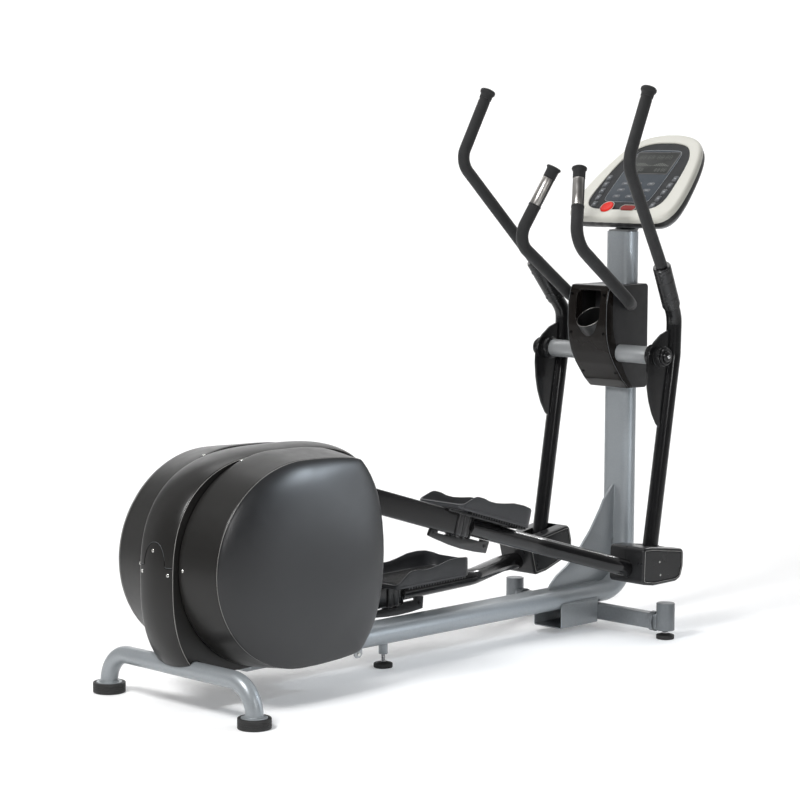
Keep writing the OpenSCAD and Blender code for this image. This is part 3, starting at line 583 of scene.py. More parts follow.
def dee_points():
    f1 = np.array(FRONT_D)
    # a little rounding of the two corners, then dense points
    top = np.stack([270 + 302 * f1[:, 0], 388 + 283 * f1[:, 1]], 1)
    P3 = [A(p[0], 0, p[1]) for p in top]
    top = fillet(P3, [60] * 5 + [14] + [60] * 8, 6)[:, [0, 2]]
    top, _ = resample(np.stack([top[:, 0], 0 * top[:, 0], top[:, 1]], 1), step=2.5)
    top = top[:, [0, 2]]
    bot = np.stack([top[:, 0], 776 - top[:, 1]], 1)
    t = np.linspace(math.pi / 2, 1.5 * math.pi, 240)[1:-1]
    rear = np.stack([270 + 312 * np.cos(t), 388 + 283 * np.sin(t)], 1)
    return np.concatenate([top, bot[:-1], rear])


R_DEE = polar_radius(dee_points())
CT, ST = np.cos(np.radians(TH)), np.sin(np.radians(TH))


def ell_r(a, b, n=2.0):
    return (np.abs(CT / a) ** n + np.abs(ST / b) ** n) ** (-1 / n)


def seam_ring(d, w):
    """seam outline moved in by d and eased towards an oval by w"""
    a = np.where(CT < 0, 312.0, 302.0) - d
    oval_ = (np.abs(CT / a) ** 2.2 + np.abs(ST / (283.0 - d)) ** 2.2) ** (-1 / 2.2)
    dee_ = R_DEE * (1 - d / 292.0)
    r = dee_ * (1 - w) + oval_ * w
    return np.stack([270 + r * CT, 388 + r * ST], 1)


def side_cover(s):
    def rings(g, y0):
        out = []
        for y, d in ((y0, 1.4 + g), (y0 + 0.9, 0.35 + g), (y0 + 1.8, g)):
            out.append((d, y))
        for k in range(0, 27):
            th = math.pi / 2 * k / 26 * 0.985
            r = math.cos(th)
            r = r ** 0.8
            out.append(((1 - r) * 283 + g * r, 202.6 + 32.3 * (1 - r ** 3.2) ** 0.75 - g * min(1.0, 0.15 + k / 8)))
        res = []
        for d, y in out:
            res.append(ring_y(seam_ring(d, smoothstep(0.0, 75.0, d)), y))
        return res
    o, i = rings(0, 200.5), rings(3.5, 200.5)
    o2 = [np.concatenate([r[:, :1], np.minimum(r[:, 1:2], 234.9), r[:, 2:]], 1) for r in o]
    v, f = sided(shell(o2, i[2:]), s)
    return v, f


R_RIM = polar_radius(superellipse(RIMI[0], RIMI[1], RIMI[2], RIMI[3], RIMI[4], RIMI[5], 2.0, 3.6, 720))


def rim(s):
    def ring(w, d, y, g=0.0):
        r = R_RIM * (1 - w) + R_DEE * w - d - g
        return ring_y(np.stack([270 + r * CT, 388 + r * ST], 1), y)
    wy = lambda y: (y - 68.2) / 131.4
    ys = [(0, 12.5, 68.0), (0, 8.4, 68.5), (0, 5.2, 69.4), (0, 3.2, 71.0), (0, 1.9, 73.6), (0, 1.1, 77.6), (0, 0.6, 83.0), (0, 0.25, 90.0)] + [(w, 0.0, 68.2 + w * 131.4) for w in np.linspace(0.24, 0.94, 13)] + [
        (0.965, 0.0, 196.6), (0.985, 0.5, 198.6), (1.0, 1.6, 199.7)]
    ys = [(w if w > 0.2 else max(0.0, wy(y)), d, y) for w, d, y in ys]
    o = [ring(*q) for q in ys]
    dd = lambda y: float(np.interp(y, [q[2] for q in ys], [q[1] for q in ys]))
    i = [ring(wy(y) if y > 68.2 else 0.0, dd(y), y, 3.6) for y in (68.0, 71.0, 75.0, 80.0, 86.0, 93.5, 104.0, 120.0, 140.0, 160.0, 180.0, 192.0)] + [ring(1.0, 1.6, 199.7, 2.2)]
    v = np.concatenate([np.concatenate(o), np.concatenate(i)])
    n, a, b = len(o[0]), len(o), len(i)
    f = []

    def band(r0, r1):
        for k in range(n):
            j = (k + 1) % n
            f.append((r0 * n + k, r0 * n + j, r1 * n + j, r1 * n + k))
    for k in range(a - 1):
        band(k, k + 1)
    for k in range(b - 1):
        band(a + k + 1, a + k)
    band(a - 1, a + b - 1)
    band(a, 0)
    return sided((v, f), s)


def shroud(s):
    prof = [(0.02, 0.0), (4, 0.05), (8, 0.15), (12, 0.35), (16, 0.6), (20, 0.95), (24, 1.3), (28, 1.8), (32, 2.3), (36, 2.95), (40, 3.6), (44, 4.4), (48, 5.25),
            (52, 6.2), (55, 7.0), (58, 7.9), (61, 8.9), (63.5, 9.8), (65, 10.6), (66.1, 11.6), (66.8, 12.9), (67.0, 14.4), (67.0, 20), (67.0, 30)]

    def ring(d, y, g=0.0):
        q = superellipse(SHR[0], SHR[1], SHR[2] - d - g, SHR[3] - d - g, SHR[4] - d - g, SHR[5] - d - g, 2.6, 3.6, 200)
        q[:, 1] = np.maximum(q[:, 1], 92.0 + g + min(d, 14) * 0.35)
        return ring_y(q, y)
    o = [ring(d, y) for y, d in prof]
    i = [ring(d, min(y, 63.2), 3.6) for y, d in prof[::3]]
    i[0][:, 1] = 0.02
    return sided(shell(o, i), s)


# sweeps a thin light tube along an edge: a painted highlight line
def highlight_line(P, r, name, mat, slot="cover_plastic", body="frame"):
    v, f = sweep(np.asarray(P, float), r, 8, caps=True, up=(0, 1, 0))
    mk(name, v, f, mat, body, slot, (), 60)


def shroud_d(y):
    return float(np.interp(abs(y), [0, 8, 16, 24, 32, 40, 48, 55, 61, 65, 67], [0, 0.15, 0.6, 1.3, 2.3, 3.6, 5.25, 7.0, 8.9, 10.6, 13.5]))


def shroud_x(y, z, out=0.0):
    """station of the shroud's rear skin"""
    d = shroud_d(y)
    bb = (SHR[4] if z > SHR[1] else SHR[5]) - d
    return SHR[0] - (SHR[2] - d) * (1 - (abs(z - SHR[1]) / bb) ** 2.6) ** (1 / 2.6) - out


for s, nm in ((1, "left"), (-1, "right")):
    v, f = side_cover(s)
    mk("cover_dish_" + nm, v, f, M_COVER, "frame", "cover_plastic", ["side_cover_" + nm], 50)
    # light line along the seam between rim and side dish: painted highlight
    q = seam_ring(0.5, 0.0)
    highlight_line(np.array([(p[0], 200.1 * s, p[1]) for p in np.concatenate([q, q[:1]])]), 0.75, "seam_bead_" + nm, M_EDGE_HIGHLIGHT)
    # light line along the shroud's side lip: painted highlight
    q = superellipse(SHR[0], SHR[1], SHR[2] - 12.1, SHR[3] - 12.1, SHR[4] - 12.1, SHR[5] - 12.1, 2.6, 3.6, 240)
    k0 = int(np.argmin(np.hypot(q[:, 0] - 320, q[:, 1] - 40)))
    q = np.roll(q, -k0, axis=0)
    q = q[q[:, 1] > 104]
    highlight_line(np.array([(p[0], 66.3 * s, p[1]) for p in q]), 0.8, "shroud_lip_" + nm, M_EDGE_HIGHLIGHT, "shroud_plastic")
    v, f = rim(s)
    o = mk("cover_rim_" + nm, v, f, M_RIM, None)
    c = raw("c", *sided(prism(round_poly([(470, 112), (800, 112), (800, 655), (500, 655), (470, 610)], 22), 60, 191.5), s))
    boolean(o, [c])
    dress(o, M_RIM, "frame", ["rim_" + nm], 40)
    v, f = shroud(s)
    o = mk("centre_shroud_" + nm, v, f, M_SHROUD, None)
    u = [(-27, 40)] + [(-27 * math.cos(t), 116 + 27 * math.sin(t)) for t in np.linspace(0, math.pi, 25)] + [(27, 40)]
    c1 = raw("c1", *sided(prism(u, -20, 100), s))
    c2 = raw("c2", *sided(prism([(30, 40), (900, 40), (900, 137.5), (30, 137.5)], -20, 57), s))
    boolean(o, [c1, c2])
    dress(o, M_SHROUD, "frame", ["shroud_" + nm], 40)


# ------------------------------------------------------------------ floor frame
def weld(points, name, r=2.6, body="frame", mat=None):
    P, d = resample(np.asarray(points, float), step=1.6)
    rr = r * (1 + 0.16 * np.sin(d * 2 * math.pi / 4.6) + 0.05 * np.sin(d * 0.93 + 1.1))
    v, f = sweep(P, rr, 10)
    return mk(name, v, f, mat or M_SILVER, body, "silver_paint", (), 60)


path = fillet([(214, 0, 105), (1842, 0, 105), (1842, 0, 1245)], 105, 28)
path, _ = resample(path, step=60)
path = fillet([(214, 0, 105), (1842, 0, 105), (1842, 0, 1245)], 105, 28)
v, f = sweep_section(path, oval(60, 110, 16), up=(0, 0, 1))
sp = prism(rrect(34, 76, 4)[:, ::-1] * A(1, 1), 25.2, 214, "x")
sv = np.array(sp[0])
sv[:, 2] += 117
v, f = merge([(v, f), (sv, sp[1])])
mk("floor_beam_and_column", v, f, M_SILVER, "frame", "silver_paint", ["main_beam", "column"], 40)

g = [(1825, 440), (1806, 436), (1762, 392), (1748, 368), (1700, 303), (1652, 254), (1590, 203), (1538, 175), (1510, 150), (1500, 134.6), (1730, 134.6),
     (1762, 139), (1787, 157), (1803, 181), (1811, 208), (1812.5, 233), (1803, 233), (1803, 265), (1812.5, 265), (1812.5, 440)]
g = [(1812.4, 440)] + g[1:10] + [(1737, 134.9)] + [(1737 + 75.2 * math.sin(t), 210 - 75.2 * math.cos(t)) for t in np.linspace(0.1, math.pi / 2, 14)] + [(1812.4, 233), (1803, 233), (1803, 265), (1812.4, 265)]
v, f = prism(g, -4, 4, "y", 0.9, 2)
mk("column_gusset_plate", v, f, M_SILVER, "frame", "silver_paint", ["column_gusset"], 30)
for s in (1, -1):
    weld([(1812.6, 4.5 * s, 434), (1812.6, 4.5 * s, 268)], "weld_gusset_up_%d" % (s > 0))
    weld([(1505, 4.5 * s, 135.4), (1733, 4.5 * s, 135.4)], "weld_gusset_low_%d" % (s > 0))

sb = fillet([(0, -300, 29.6), (0, -300, 116), (0, 300, 116), (0, 300, 29.6)], 85, 20)
v, f = sweep(sb, 24.5, 44)
parts = [(v, f)]
for s in (1, -1):
    parts.append(turned([(27.0, 35), (27.1, 36), (29.4, 36), (30.1, 35.2), (30.3, 33)], (0, 300 * s, 0), (0, 0, 1), 56))
v, f = merge(parts)
mk("rear_stabiliser_tube", v, f, M_SILVER, "frame", "silver_paint", ["rear_stabilizer"], 35)
for s, nm in ((1, "left"), (-1, "right")):
    pr = [(0.0, 40), (0.0, 43.4), (0.8, 44.6), (2.2, 45.3), (8.0, 45.5), (8.6, 44.6), (9.6, 44.6), (10.2, 45.5), (13.4, 45.5), (14.0, 44.6), (15.0, 44.6), (15.6, 45.5),
          (18.8, 45.5), (19.4, 44.6), (20.4, 44.6), (21.0, 45.5), (26.4, 45.4), (28.2, 44.6), (29.0, 43.0), (29.0, 38.6), (28.4, 37.4), (26.9, 37.2), (26.9, 2)]
    v, f = turned(pr, (0, 300 * s, 0), (0, 0, 1), 72)
    mk("rear_foot_" + nm, v, f, M_RUBBER, "frame", "foot_rubber", ["rear_feet"] if s > 0 else (), 32)
    pth = [(0 + 25.3 * math.cos(t), 300 * s + 25.3 * math.sin(t), 31.2) for t in np.linspace(0, 2 * math.pi, 70)]
    weld(pth, "weld_foot_" + nm, 2.0)

# front receiver, cross bar, posts, feet
o_ = rrect(114, 78, 7)
i_ = rrect(106, 70, 4)
rings = [np.stack([np.full(len(o_), x), inset(o_, d)[:, 0], inset(o_, d)[:, 1] + 57], 1) for x, d in ((1501, 0.8), (1501.8, 0), (1673.9, 0))]
irings = [np.stack([np.full(len(i_), x), inset(i_, d)[:, 0], inset(i_, d)[:, 1] + 57], 1) for x, d in ((1501, -0.6), (1502, 0), (1673.9, 0))]
n = len(o_)
v = np.concatenate(rings + irings)
f = []
for k in range(n):
    j = (k + 1) % n
    f += [(k, j, n + j, n + k), (n + k, n + j, 2 * n + j, 2 * n + k), (3 * n + j, 3 * n + k, 4 * n + k, 4 * n + j), (4 * n + j, 4 * n + k, 5 * n + k, 5 * n + j),
          (3 * n + k, 3 * n + j, j, k), (2 * n + k, 2 * n + j, 5 * n + j, 5 * n + k)]
o = mk("front_receiver_tube", v, f, M_SILVER, None)
cc = oval(60.2, 110.2, 16)
boolean(o, [raw("c", *loft([np.stack([np.full(len(cc), x), cc[:, 1], cc[:, 0] + 105], 1) for x in (1450, 1760)])),
            raw("c", *prism([(1490, 60), (1700, 60), (1700, 110), (1490, 110)], -49, 49))])
dress(o, M_SILVER, "frame", ["front_receiver"], 30)
for s in (1, -1):
    weld([(1503, 56.5 * s, 95.5), (1672, 56.5 * s, 95.5)], "weld_receiver_%d" % (s > 0), 2.4)

q = rrect(40, 47.8, 5)
bar = loft([np.stack([q[:, 0] + 1694, np.full(len(q), y), q[:, 1] + 50.9], 1) for y in (-296, 296)])
parts = [bar]
for s in (1, -1):
    parts.append(turned([(27, 22), (27, 27.4), (28, 28.5), (110.2, 28.5), (111.4, 28.0), (112, 26.8), (112.1, 20), (111.9, 4)], (1695, 312 * s, 0), (0, 0, 1), 56))
    parts.append(turned([(0, 24), (0, 29.6), (1.4, 31), (16.6, 31), (18, 29.6), (18, 24)], (1694, 262 * s, 50), (0, s, 0), 48))
v, f = merge(parts)
# cross bar and posts in the darker silver copy: painted shade
mk("front_cross_bar", v, f, M_SILVER_SHADED, "frame", "silver_paint", ["front_crossbar"], 30)
for s in (1, -1):
    pth = [(1695 + 28.9 * math.cos(t), 312 * s + 28.9 * math.sin(t), 74.6) for t in np.linspace(-math.pi / 2 * s - 0.8, -math.pi / 2 * s + 0.8, 20)]
    weld(pth, "weld_post_%d" % (s > 0), 2.2)


def levelling_foot(x, y, top, r=28):
    pad = turned([(0, r - 4), (0, r - 1.6), (0.8, r - 0.4), (2.4, r), (11, r), (12.4, r - 0.6), (13.4, r - 2.4), (16.4, r * 0.55), (17, r * 0.5), (17, 4)], (x, y, 0), (0, 0, 1), 56)
    stud_p = [(16.6, 5.7)]
    z = 21.0
    while z < top - 1.5:
        stud_p += [(z, 5.3), (z + 0.75, 6.0)]
        z += 1.5
    stud_p.append((top, 5.3))
    stud = turned(stud_p, (x, y, 0), (0, 0, 1), 28)
    hexn = [(x + 10 * math.cos(a), y + 10 * math.sin(a)) for a in np.arange(6) * math.pi / 3]
    nut = prism(hexn, 16.9, 21.4, "z", 0.7, 2)
    return pad, stud, nut


k = 0
for x, y, top in ((1695, 312, 33), (1695, -312, 33), (774, 0, 46)):
    pad, stud, nut = levelling_foot(x, y, top)
    mk("levelling_pad_%d" % k, *pad, M_RUBBER, "frame", "foot_rubber", ["levelling_feet"] if k == 0 else (), 32)
    v, f = merge([stud, nut])
    mk("levelling_stud_%d" % k, v, f, M_STEEL, "frame", "bright_steel", (), 30)
    k += 1
v, f = turned([(40, 7), (40, 13), (41, 13.5), (76.5, 13.5), (76.5, 3)], (774, 0, 0), (0, 0, 1), 40)
mk("middle_foot_socket", v, f, M_SILVER, "frame", "silver_paint", (), 30)

# ------------------------------------------------------------------ pivot, junction box
PV = A(1742, 0, 868)
parts = []
for s in (1, -1):
    parts.append(turned([(70, 20), (70, 27.5), (196.6, 27.5), (197.7, 26.9), (198, 25.6), (198, 13)], PV, (0, s, 0), 56, ref=(1, 0, 0)))
v, f = merge(parts)
br = [prism([(1761, 844), (1780, 814), (1811.8, 814), (1811.8, 896), (1764, 896), (1744, 884)], a, b, "y", 0.8, 2) for a, b in ((30, 38), (-38, -30))]
v, f = merge([(v, f)] + br + [turned([(-60, 14), (-60, 27.2), (60, 27.2), (60, 14)], PV, (0, 1, 0), 40)])
mk("pivot_cross_tube", v, f, M_GREY, "frame", "grey_paint", ["pivot_tube"], 30)
v, f = merge([turned([(150, 4), (150, 12.4), (257.7, 12.4), (257.7, 26.4), (258.4, 27), (261.8, 27), (263.2, 26.5), (264.3, 25.2), (264.7, 23.2), (264.2, 21.2), (263.2, 19.6), (263.2, 17.8), (266.6, 17.4), (269.2, 16.0), (271.0, 13.2), (271.8, 9.6), (272.0, 5.6), (271.6, 1)], PV, (0, s, 0), 48) for s in (1, -1)])
mk("pivot_end_washers", v, f, M_BLACK, "frame", "black_fittings", ["pivot_axle"], 30)
parts = []
for s in (1, -1):
    dome = [(271.2, 5.0), (271.9, 6.0), (273.0, 5.8), (274.0, 4.8), (274.7, 3.0), (274.9, 0.6)]
    parts.append(turned(dome, PV, (0, s, 0), 40))
v, f = merge(parts)
mk("pivot_end_domes", v, f, M_STEEL, "frame", "bright_steel", (), 40)

jb_out = [(1700, 1066), (1712, 1080), (1870, 1082), (1878, 1074), (1878, 760), (1870, 752), (1800, 754), (1766, 800), (1722, 880), (1702, 944)]
jb_r = round_poly(jb_out, [4, 6, 9, 9, 16, 12, 4, 40, 60, 40], 6)
v, f = prism(jb_r, -78, 78, "y", 3.2, 4)
o = mk("junction_body", v, f, M_SATIN, None)
cut1 = raw("c", *prism([(1690, 938), (1770, 938), (1770, 1070), (1690, 1070)], -66, 66))
boolean(o, [cut1] + [raw("c", *turned([(60, 28), (100, 28)], PV, (0, s, 0), 48)) for s in (1, -1)])
for p in o.data.polygons:
    p.use_smooth = True
dress(o, M_SATIN, "frame", ["junction_box"], 30)
JF_F = [(1714, 1081.6), (1691, 1080), (1681, 1062), (1671, 1020), (1670, 955), (1675, 912), (1688, 872), (1711, 833), (1753, 781), (1784, 753.6), (1799.6, 753.6)]
JF_B = [(1767, 800), (1723, 880), (1703, 944), (1702, 1066)]


def open_round(P, r, n=6):
    P3 = [A(p[0], 0, p[1]) for p in P]
    q = fillet(P3, r, n)
    return q[:, [0, 2]]


jf_f = open_round(JF_F, [8, 20, 60, 80, 80, 80, 80, 60, 8], 7)
jf_t = np.gradient(jf_f, axis=0)
jf_t /= np.linalg.norm(jf_t, axis=1)[:, None]
jf_n = np.stack([-jf_t[:, 1], jf_t[:, 0]], 1)          # towards the inside of the housing
if jf_n[len(jf_n) // 2, 0] < 0:
    jf_n = -jf_n
jf_b = open_round(JF_B, [40, 60], 5)


def jf_ring(d, y):
    """front skin moved in by d, back skin left where it is"""
    q = np.concatenate([jf_f + jf_n * d, jf_b])
    return np.stack([q[:, 0], np.full(len(q), float(y)), q[:, 1]], 1)


rg = []
for k in range(7):
    t = math.pi / 2 * k / 6
    rg.append((6.5 * (1 - math.sin(t)), -79.5 + 5.0 * (1 - math.cos(t))))
rg = rg + [(0, y) for y in (-60, -30, 0, 30, 60)] + [(d, -y) for d, y in rg[::-1]]
v, f = loft([jf_ring(d, y) for d, y in rg])
o = mk("junction_face", v, f, M_GLOSS, None)
hole = round_poly([(-51, 1058), (-43, 1066), (34, 1066), (47, 1056), (47, 974), (36, 964), (-40, 964), (-51, 974)], [12, 12, 14, 16, 16, 14, 14, 16], 6)
hv, hf = loft([np.stack([np.full(len(hole), x), hole[:, 0], hole[:, 1]], 1) for x in (1640, 1740)])
pc_ = turned([(-90, 28), (90, 28)], PV, (0, 1, 0), 48)
CUP = A(1684, -2, 980)
CUPZ = A(-math.sin(rad(40)), 0, math.cos(rad(40)))
boolean(o, [raw("c", hv, hf), raw("c", *pc_), raw("c", *turned([(-77, 46.3), (14, 46.3)], CUP, CUPZ, 72))])
dress(o, M_GLOSS, "frame", ["junction_front"], 32)
# light line along both side edges of the curved front: painted highlight
for yo, tag in ((-78.3, "right"), (78.3, "left")):
    q = jf_f + jf_n * 1.5
    eb, _ = resample(np.stack([q[:, 0], np.full(len(q), yo), q[:, 1]], 1), step=6)
    v, f = sweep(eb, 0.75, 8, caps=True, up=(0, 1, 0))
    mk("junction_edge_" + tag, v, f, M_KEYRIM_AND_EDGE_HIGHLIGHT, "frame", "box_gloss", (), 60)
# rolled lip round the pocket
lip = np.concatenate([hole, hole[:1]])
lp = np.stack([np.interp(lip[:, 1], [960, 1020, 1045, 1066], [1670.4, 1671.3, 1676.5, 1683.5]), lip[:, 0], lip[:, 1]], 1)
lp, _ = resample(lp, step=5)
keep = lp[:, 2] > 968
k0 = int(np.argmax(~keep))
lp = np.roll(lp[:-1], -k0, axis=0)
lp = lp[lp[:, 2] > 968]
v, f = sweep(lp, 1.5, 10, up=(1, 0, 0))
mk("pocket_lip", v, f, M_GLOSS, "frame", "box_gloss", (), 60)
# dark liner behind the pocket
LQ = rrect(106, 150, 10) + A(-2, 990)
ring_x = lambda x, d: np.stack([np.full(len(LQ), float(x)), inset(LQ, d)[:, 0], inset(LQ, d)[:, 1]], 1)
v, f = shell([ring_x(1704, 0), ring_x(1790, 0)], [ring_x(1704, 2.5), ring_x(1787.5, 2.5)])
mk("pocket_liner", v, f, M_CUP, "frame", "box_satin", (), 30)
# leaning bottle cup and its rolled rim; the thin bright metal ring on the rim is a painted highlight
v, f = turned([(-75, 2), (-75, 43), (-74, 45), (-72, 46), (-3.0, 46), (-1.0, 45.9), (0.0, 45.0), (0.0, 44.0), (-1.0, 43.2), (-3.0, 43.0), (-70, 42.6), (-72, 40), (-72, 2)], CUP, CUPZ, 84)
mk("bottle_cup_wall", v, f, M_CUP, "frame", "cup_plastic", ["bottle_cup"], 40)
ex_ = unit(np.cross(CUPZ, (0, 1, 0)))
ring = np.array([CUP + CUPZ * 0.3 + 44.6 * (math.cos(t) * ex_ + math.sin(t) * A(0, 1, 0)) for t in np.linspace(0, 2 * math.pi, 97)])
v, f = sweep(ring, 0.75, 10, caps=True, up=CUPZ)
mk("bottle_cup_ring", v, f, M_SENSOR_AND_RIM_HIGHLIGHT, "frame", "cup_plastic", (), 60)

# screws on the glossy face, their heads partly sunk into it
scr = []
for y in (-66, 66):
    for x, z, nx, nz in ((1671.8, 1040 if False else 1052, -0.99, 0.1), (1672.4, 930, -0.97, -0.25), (1735, 803.5, -0.70, -0.71)):
        c = A(x, y, z)
        nrm = unit((nx, 0, nz))
        scr.append(turned([(-4, 2), (-4, 4.6), (0.9, 4.6), (1.2, 4.2), (1.2, 2.4), (-0.6, 2.1), (-0.6, 0.3)], c, nrm, 20))
v, f = merge(scr)
mk("junction_face_screws", v, f, M_DARK, "frame", "black_fittings", (), 30)


# ------------------------------------------------------------------ levers
LV = [A(1711, 228, 225), A(1818, 228, 868), A(1821, 228, 985), A(1716, 259, 1145)]
SD = unit(LV[3] - LV[2])
HB = [LV[3] - SD * 52, LV[3], A(1447, 338, 1463), A(1557, 325, 1679)]
HE = unit(HB[3] - HB[2])
UP = unit(LV[1] - LV[0])


def lever_round(P, rb, step=10):
    p, _ = resample(fillet(P, rb, 18), step=step)
    return p


for s, nm in ((1, "left"), (-1, "right")):
    body = "lever_" + nm
    # tube with its foot boss
    v, f = sweep(lever_round([LV[0] + UP * 20, LV[1], LV[2], LV[3] - SD * 62], 75), 24, 48)
    boss = turned([(-22, 11), (-22, 25.2), (-21.2, 26), (21.2, 26), (22, 25.2), (22, 11)], LV[0], (0, 1, 0), 44)
    v, f = sided(merge([(v, f), boss]), s)
    mk("lever_main_tube_" + nm, v, f, M_BLACK, body, "black_paint", ["lever_tube_" + nm], 35)
    # D-shaped plate
    D = [(1822, 950), (1790, 946), (1755, 934), (1722, 912), (1700, 888), (1690, 862), (1688, 820), (1692, 775), (1702, 730), (1718, 690), (1740, 655), (1762, 640), (1782, 640)]
    Dr = round_poly(D, [3, 30, 30, 40, 40, 40, 60, 60, 60, 50, 30, 8, 3], 5)
    v, f = sided(prism(Dr, 224, 232, "y", 1.4, 3), s)
    mk("lever_side_plate_" + nm, v, f, M_BLACK, body, "black_paint", ["lever_plate_" + nm], 35)
    # weld bead on the tube side of the plate, both faces
    for k, yy in enumerate((223.2, 232.8)):
        pts = [LV[0] * A(1, 0, 1) + UP * A(1, 0, 1) * t + A(0, yy, 0) + A(-23.7, 0, 3.4) for t in np.linspace(432, 640, 40)]
        v, f = sided(sweep(np.array(pts), 2.4 * (1 + 0.15 * np.sin(np.arange(40) * 1.9)), 10), s)
        mk("lever_weld_%s_%d" % (nm, k), v, f, M_BLACK, body, "black_paint", (), 60)
    # hub with its ring grooves
    hub = [(198.5, 14), (198.5, 29.8), (199.6, 31), (201.6, 31), (202.2, 34.2), (203, 35), (213, 35), (213.9, 34.2), (214.3, 31), (233.6, 31), (234.2, 30.2), (235.2, 30.2), (235.8, 31),
           (249.0, 31), (249.6, 30.2), (250.6, 30.2), (251.2, 31), (255.9, 31), (257.1, 29.8), (257.1, 14)]
    v, f = sided(turned(hub, PV, (0, 1, 0), 56), s)
    mk("lever_hub_shell_" + nm, v, f, M_BLACK, body, "black_paint", ["lever_hub_" + nm], 32)
    # clamp sleeve: two halves with collars and seam
    sl = [(-151, 24.4), (-151, 25.3), (-150.4, 26), (-146.4, 26), (-146, 26.9), (-145.2, 28), (-112, 28), (-111.3, 27.0), (-110.1, 27.0), (-109.4, 28), (-48.6, 28),
          (-47.9, 27.0), (-46.7, 27.0), (-46, 28), (-14, 28), (-13.2, 27.2), (-12.6, 28), (-1.2, 28), (-0.2, 27.2), (0.2, 26.4), (3.0, 26.2), (4, 25.2), (4, 14.3)]
    v, f = turned(sl, LV[3], SD, 60, ref=unit(np.cross((0, 1, 0), SD)))
    o = mk("clamp_sleeve_" + nm, *sided((v, f), s), M_SLEEVE, None)
    # seam slots along the sleeve, front and rear
    cs = []
    ex = unit(np.cross((0, 1, 0), SD))
    ey = np.cross(SD, ex)
    for sg in (1, -1):
        c0 = LV[3] + ey * 27.4 * sg
        bx_ = []
        for a in (-148, 6):
            for (p, q) in ((-0.45, -1.0), (0.45, -1.0), (0.45, 2.5), (-0.45, 2.5)):
                bx_.append(c0 + SD * a + ex * p + ey * q * sg)
        vv = np.array(bx_)
        ff = [(0, 1, 2, 3), (4, 7, 6, 5), (0, 4, 5, 1), (1, 5, 6, 2), (2, 6, 7, 3), (3, 7, 4, 0)]
        cs.append(raw("c", *sided((vv, ff), s)))
    boolean(o, cs)
    dress(o, M_SLEEVE, body, ["handle_sleeve_" + nm], 32)
    sc = []
    for a in (-128, -30):
        for sg in (1, -1):
            d = unit(ex * 0.92 * (-1) + ey * 0.39 * sg)
            sc.append(turned([(24, 2), (24, 5.2), (28.6, 5.2), (29.2, 4.6), (29.3, 2.7), (27.8, 2.3), (27.8, 0.3)], LV[3] + SD * a, d, 20))
    v, f = sided(merge(sc), s)
    mk("clamp_screws_" + nm, v, f, M_BRACKET, body, "sleeve_plastic", (), 30)
    # bar
    p, _ = resample(fillet(HB, 65, 18), step=8)
    v, f = sweep(p, 14, 32)
    plug = turned([(-60, 15), (-60, 21.4), (-13, 21.4), (-13, 15)], LV[3], SD, 40)
    v, f = sided(merge([(v, f), plug]), s)
    mk("handle_bar_" + nm, v, f, M_BRACKET, body, "bar_steel", ["handlebar_" + nm], 35)
    # foam grip, softly swelling, with rolled ends
    P = fillet([LV[3] + unit(HB[2] - HB[1]) * 6.6, HB[2], HB[3] - HE * 24], 65, 18)
    P, d = resample(P, [0.4, 1.0, 2.0, 3.5, 5.5], step=7)
    L = d[-1]
    r = 18.55 + 0.1 * np.sin(d / 31.0)
    e0, e1 = np.clip(d / 4.0, 0, 1), np.clip((L - d) / 3.0, 0, 1)
    r = r - 1.8 * (1 - np.sqrt(1 - (1 - e0) ** 2)) - 1.2 * (1 - np.sqrt(1 - (1 - e1) ** 2))
    v, f = sided(sweep(P, r, 40), s)
    mk("foam_grip_" + nm, v, f, M_FOAM, body, "grip_foam", ["handle_grip_" + nm], 60)
    cap = [(-24, 14.4), (-23.8, 18.9), (-22.6, 19.7), (-14, 19.8), (-10, 20.2), (-7, 21.3), (-5, 22.9), (-3.4, 24.1), (-1.2, 24.6), (1.6, 24.6), (4.2, 24.1), (6.0, 22.6), (7.0, 19.0), (7.6, 13.5), (7.9, 7.0), (8.0, 0.5)]
    v, f = sided(turned(cap, HB[3], HE, 48), s)
    mk("grip_end_cap_" + nm, v, f, M_FOAM, body, "grip_foam", (), 50)

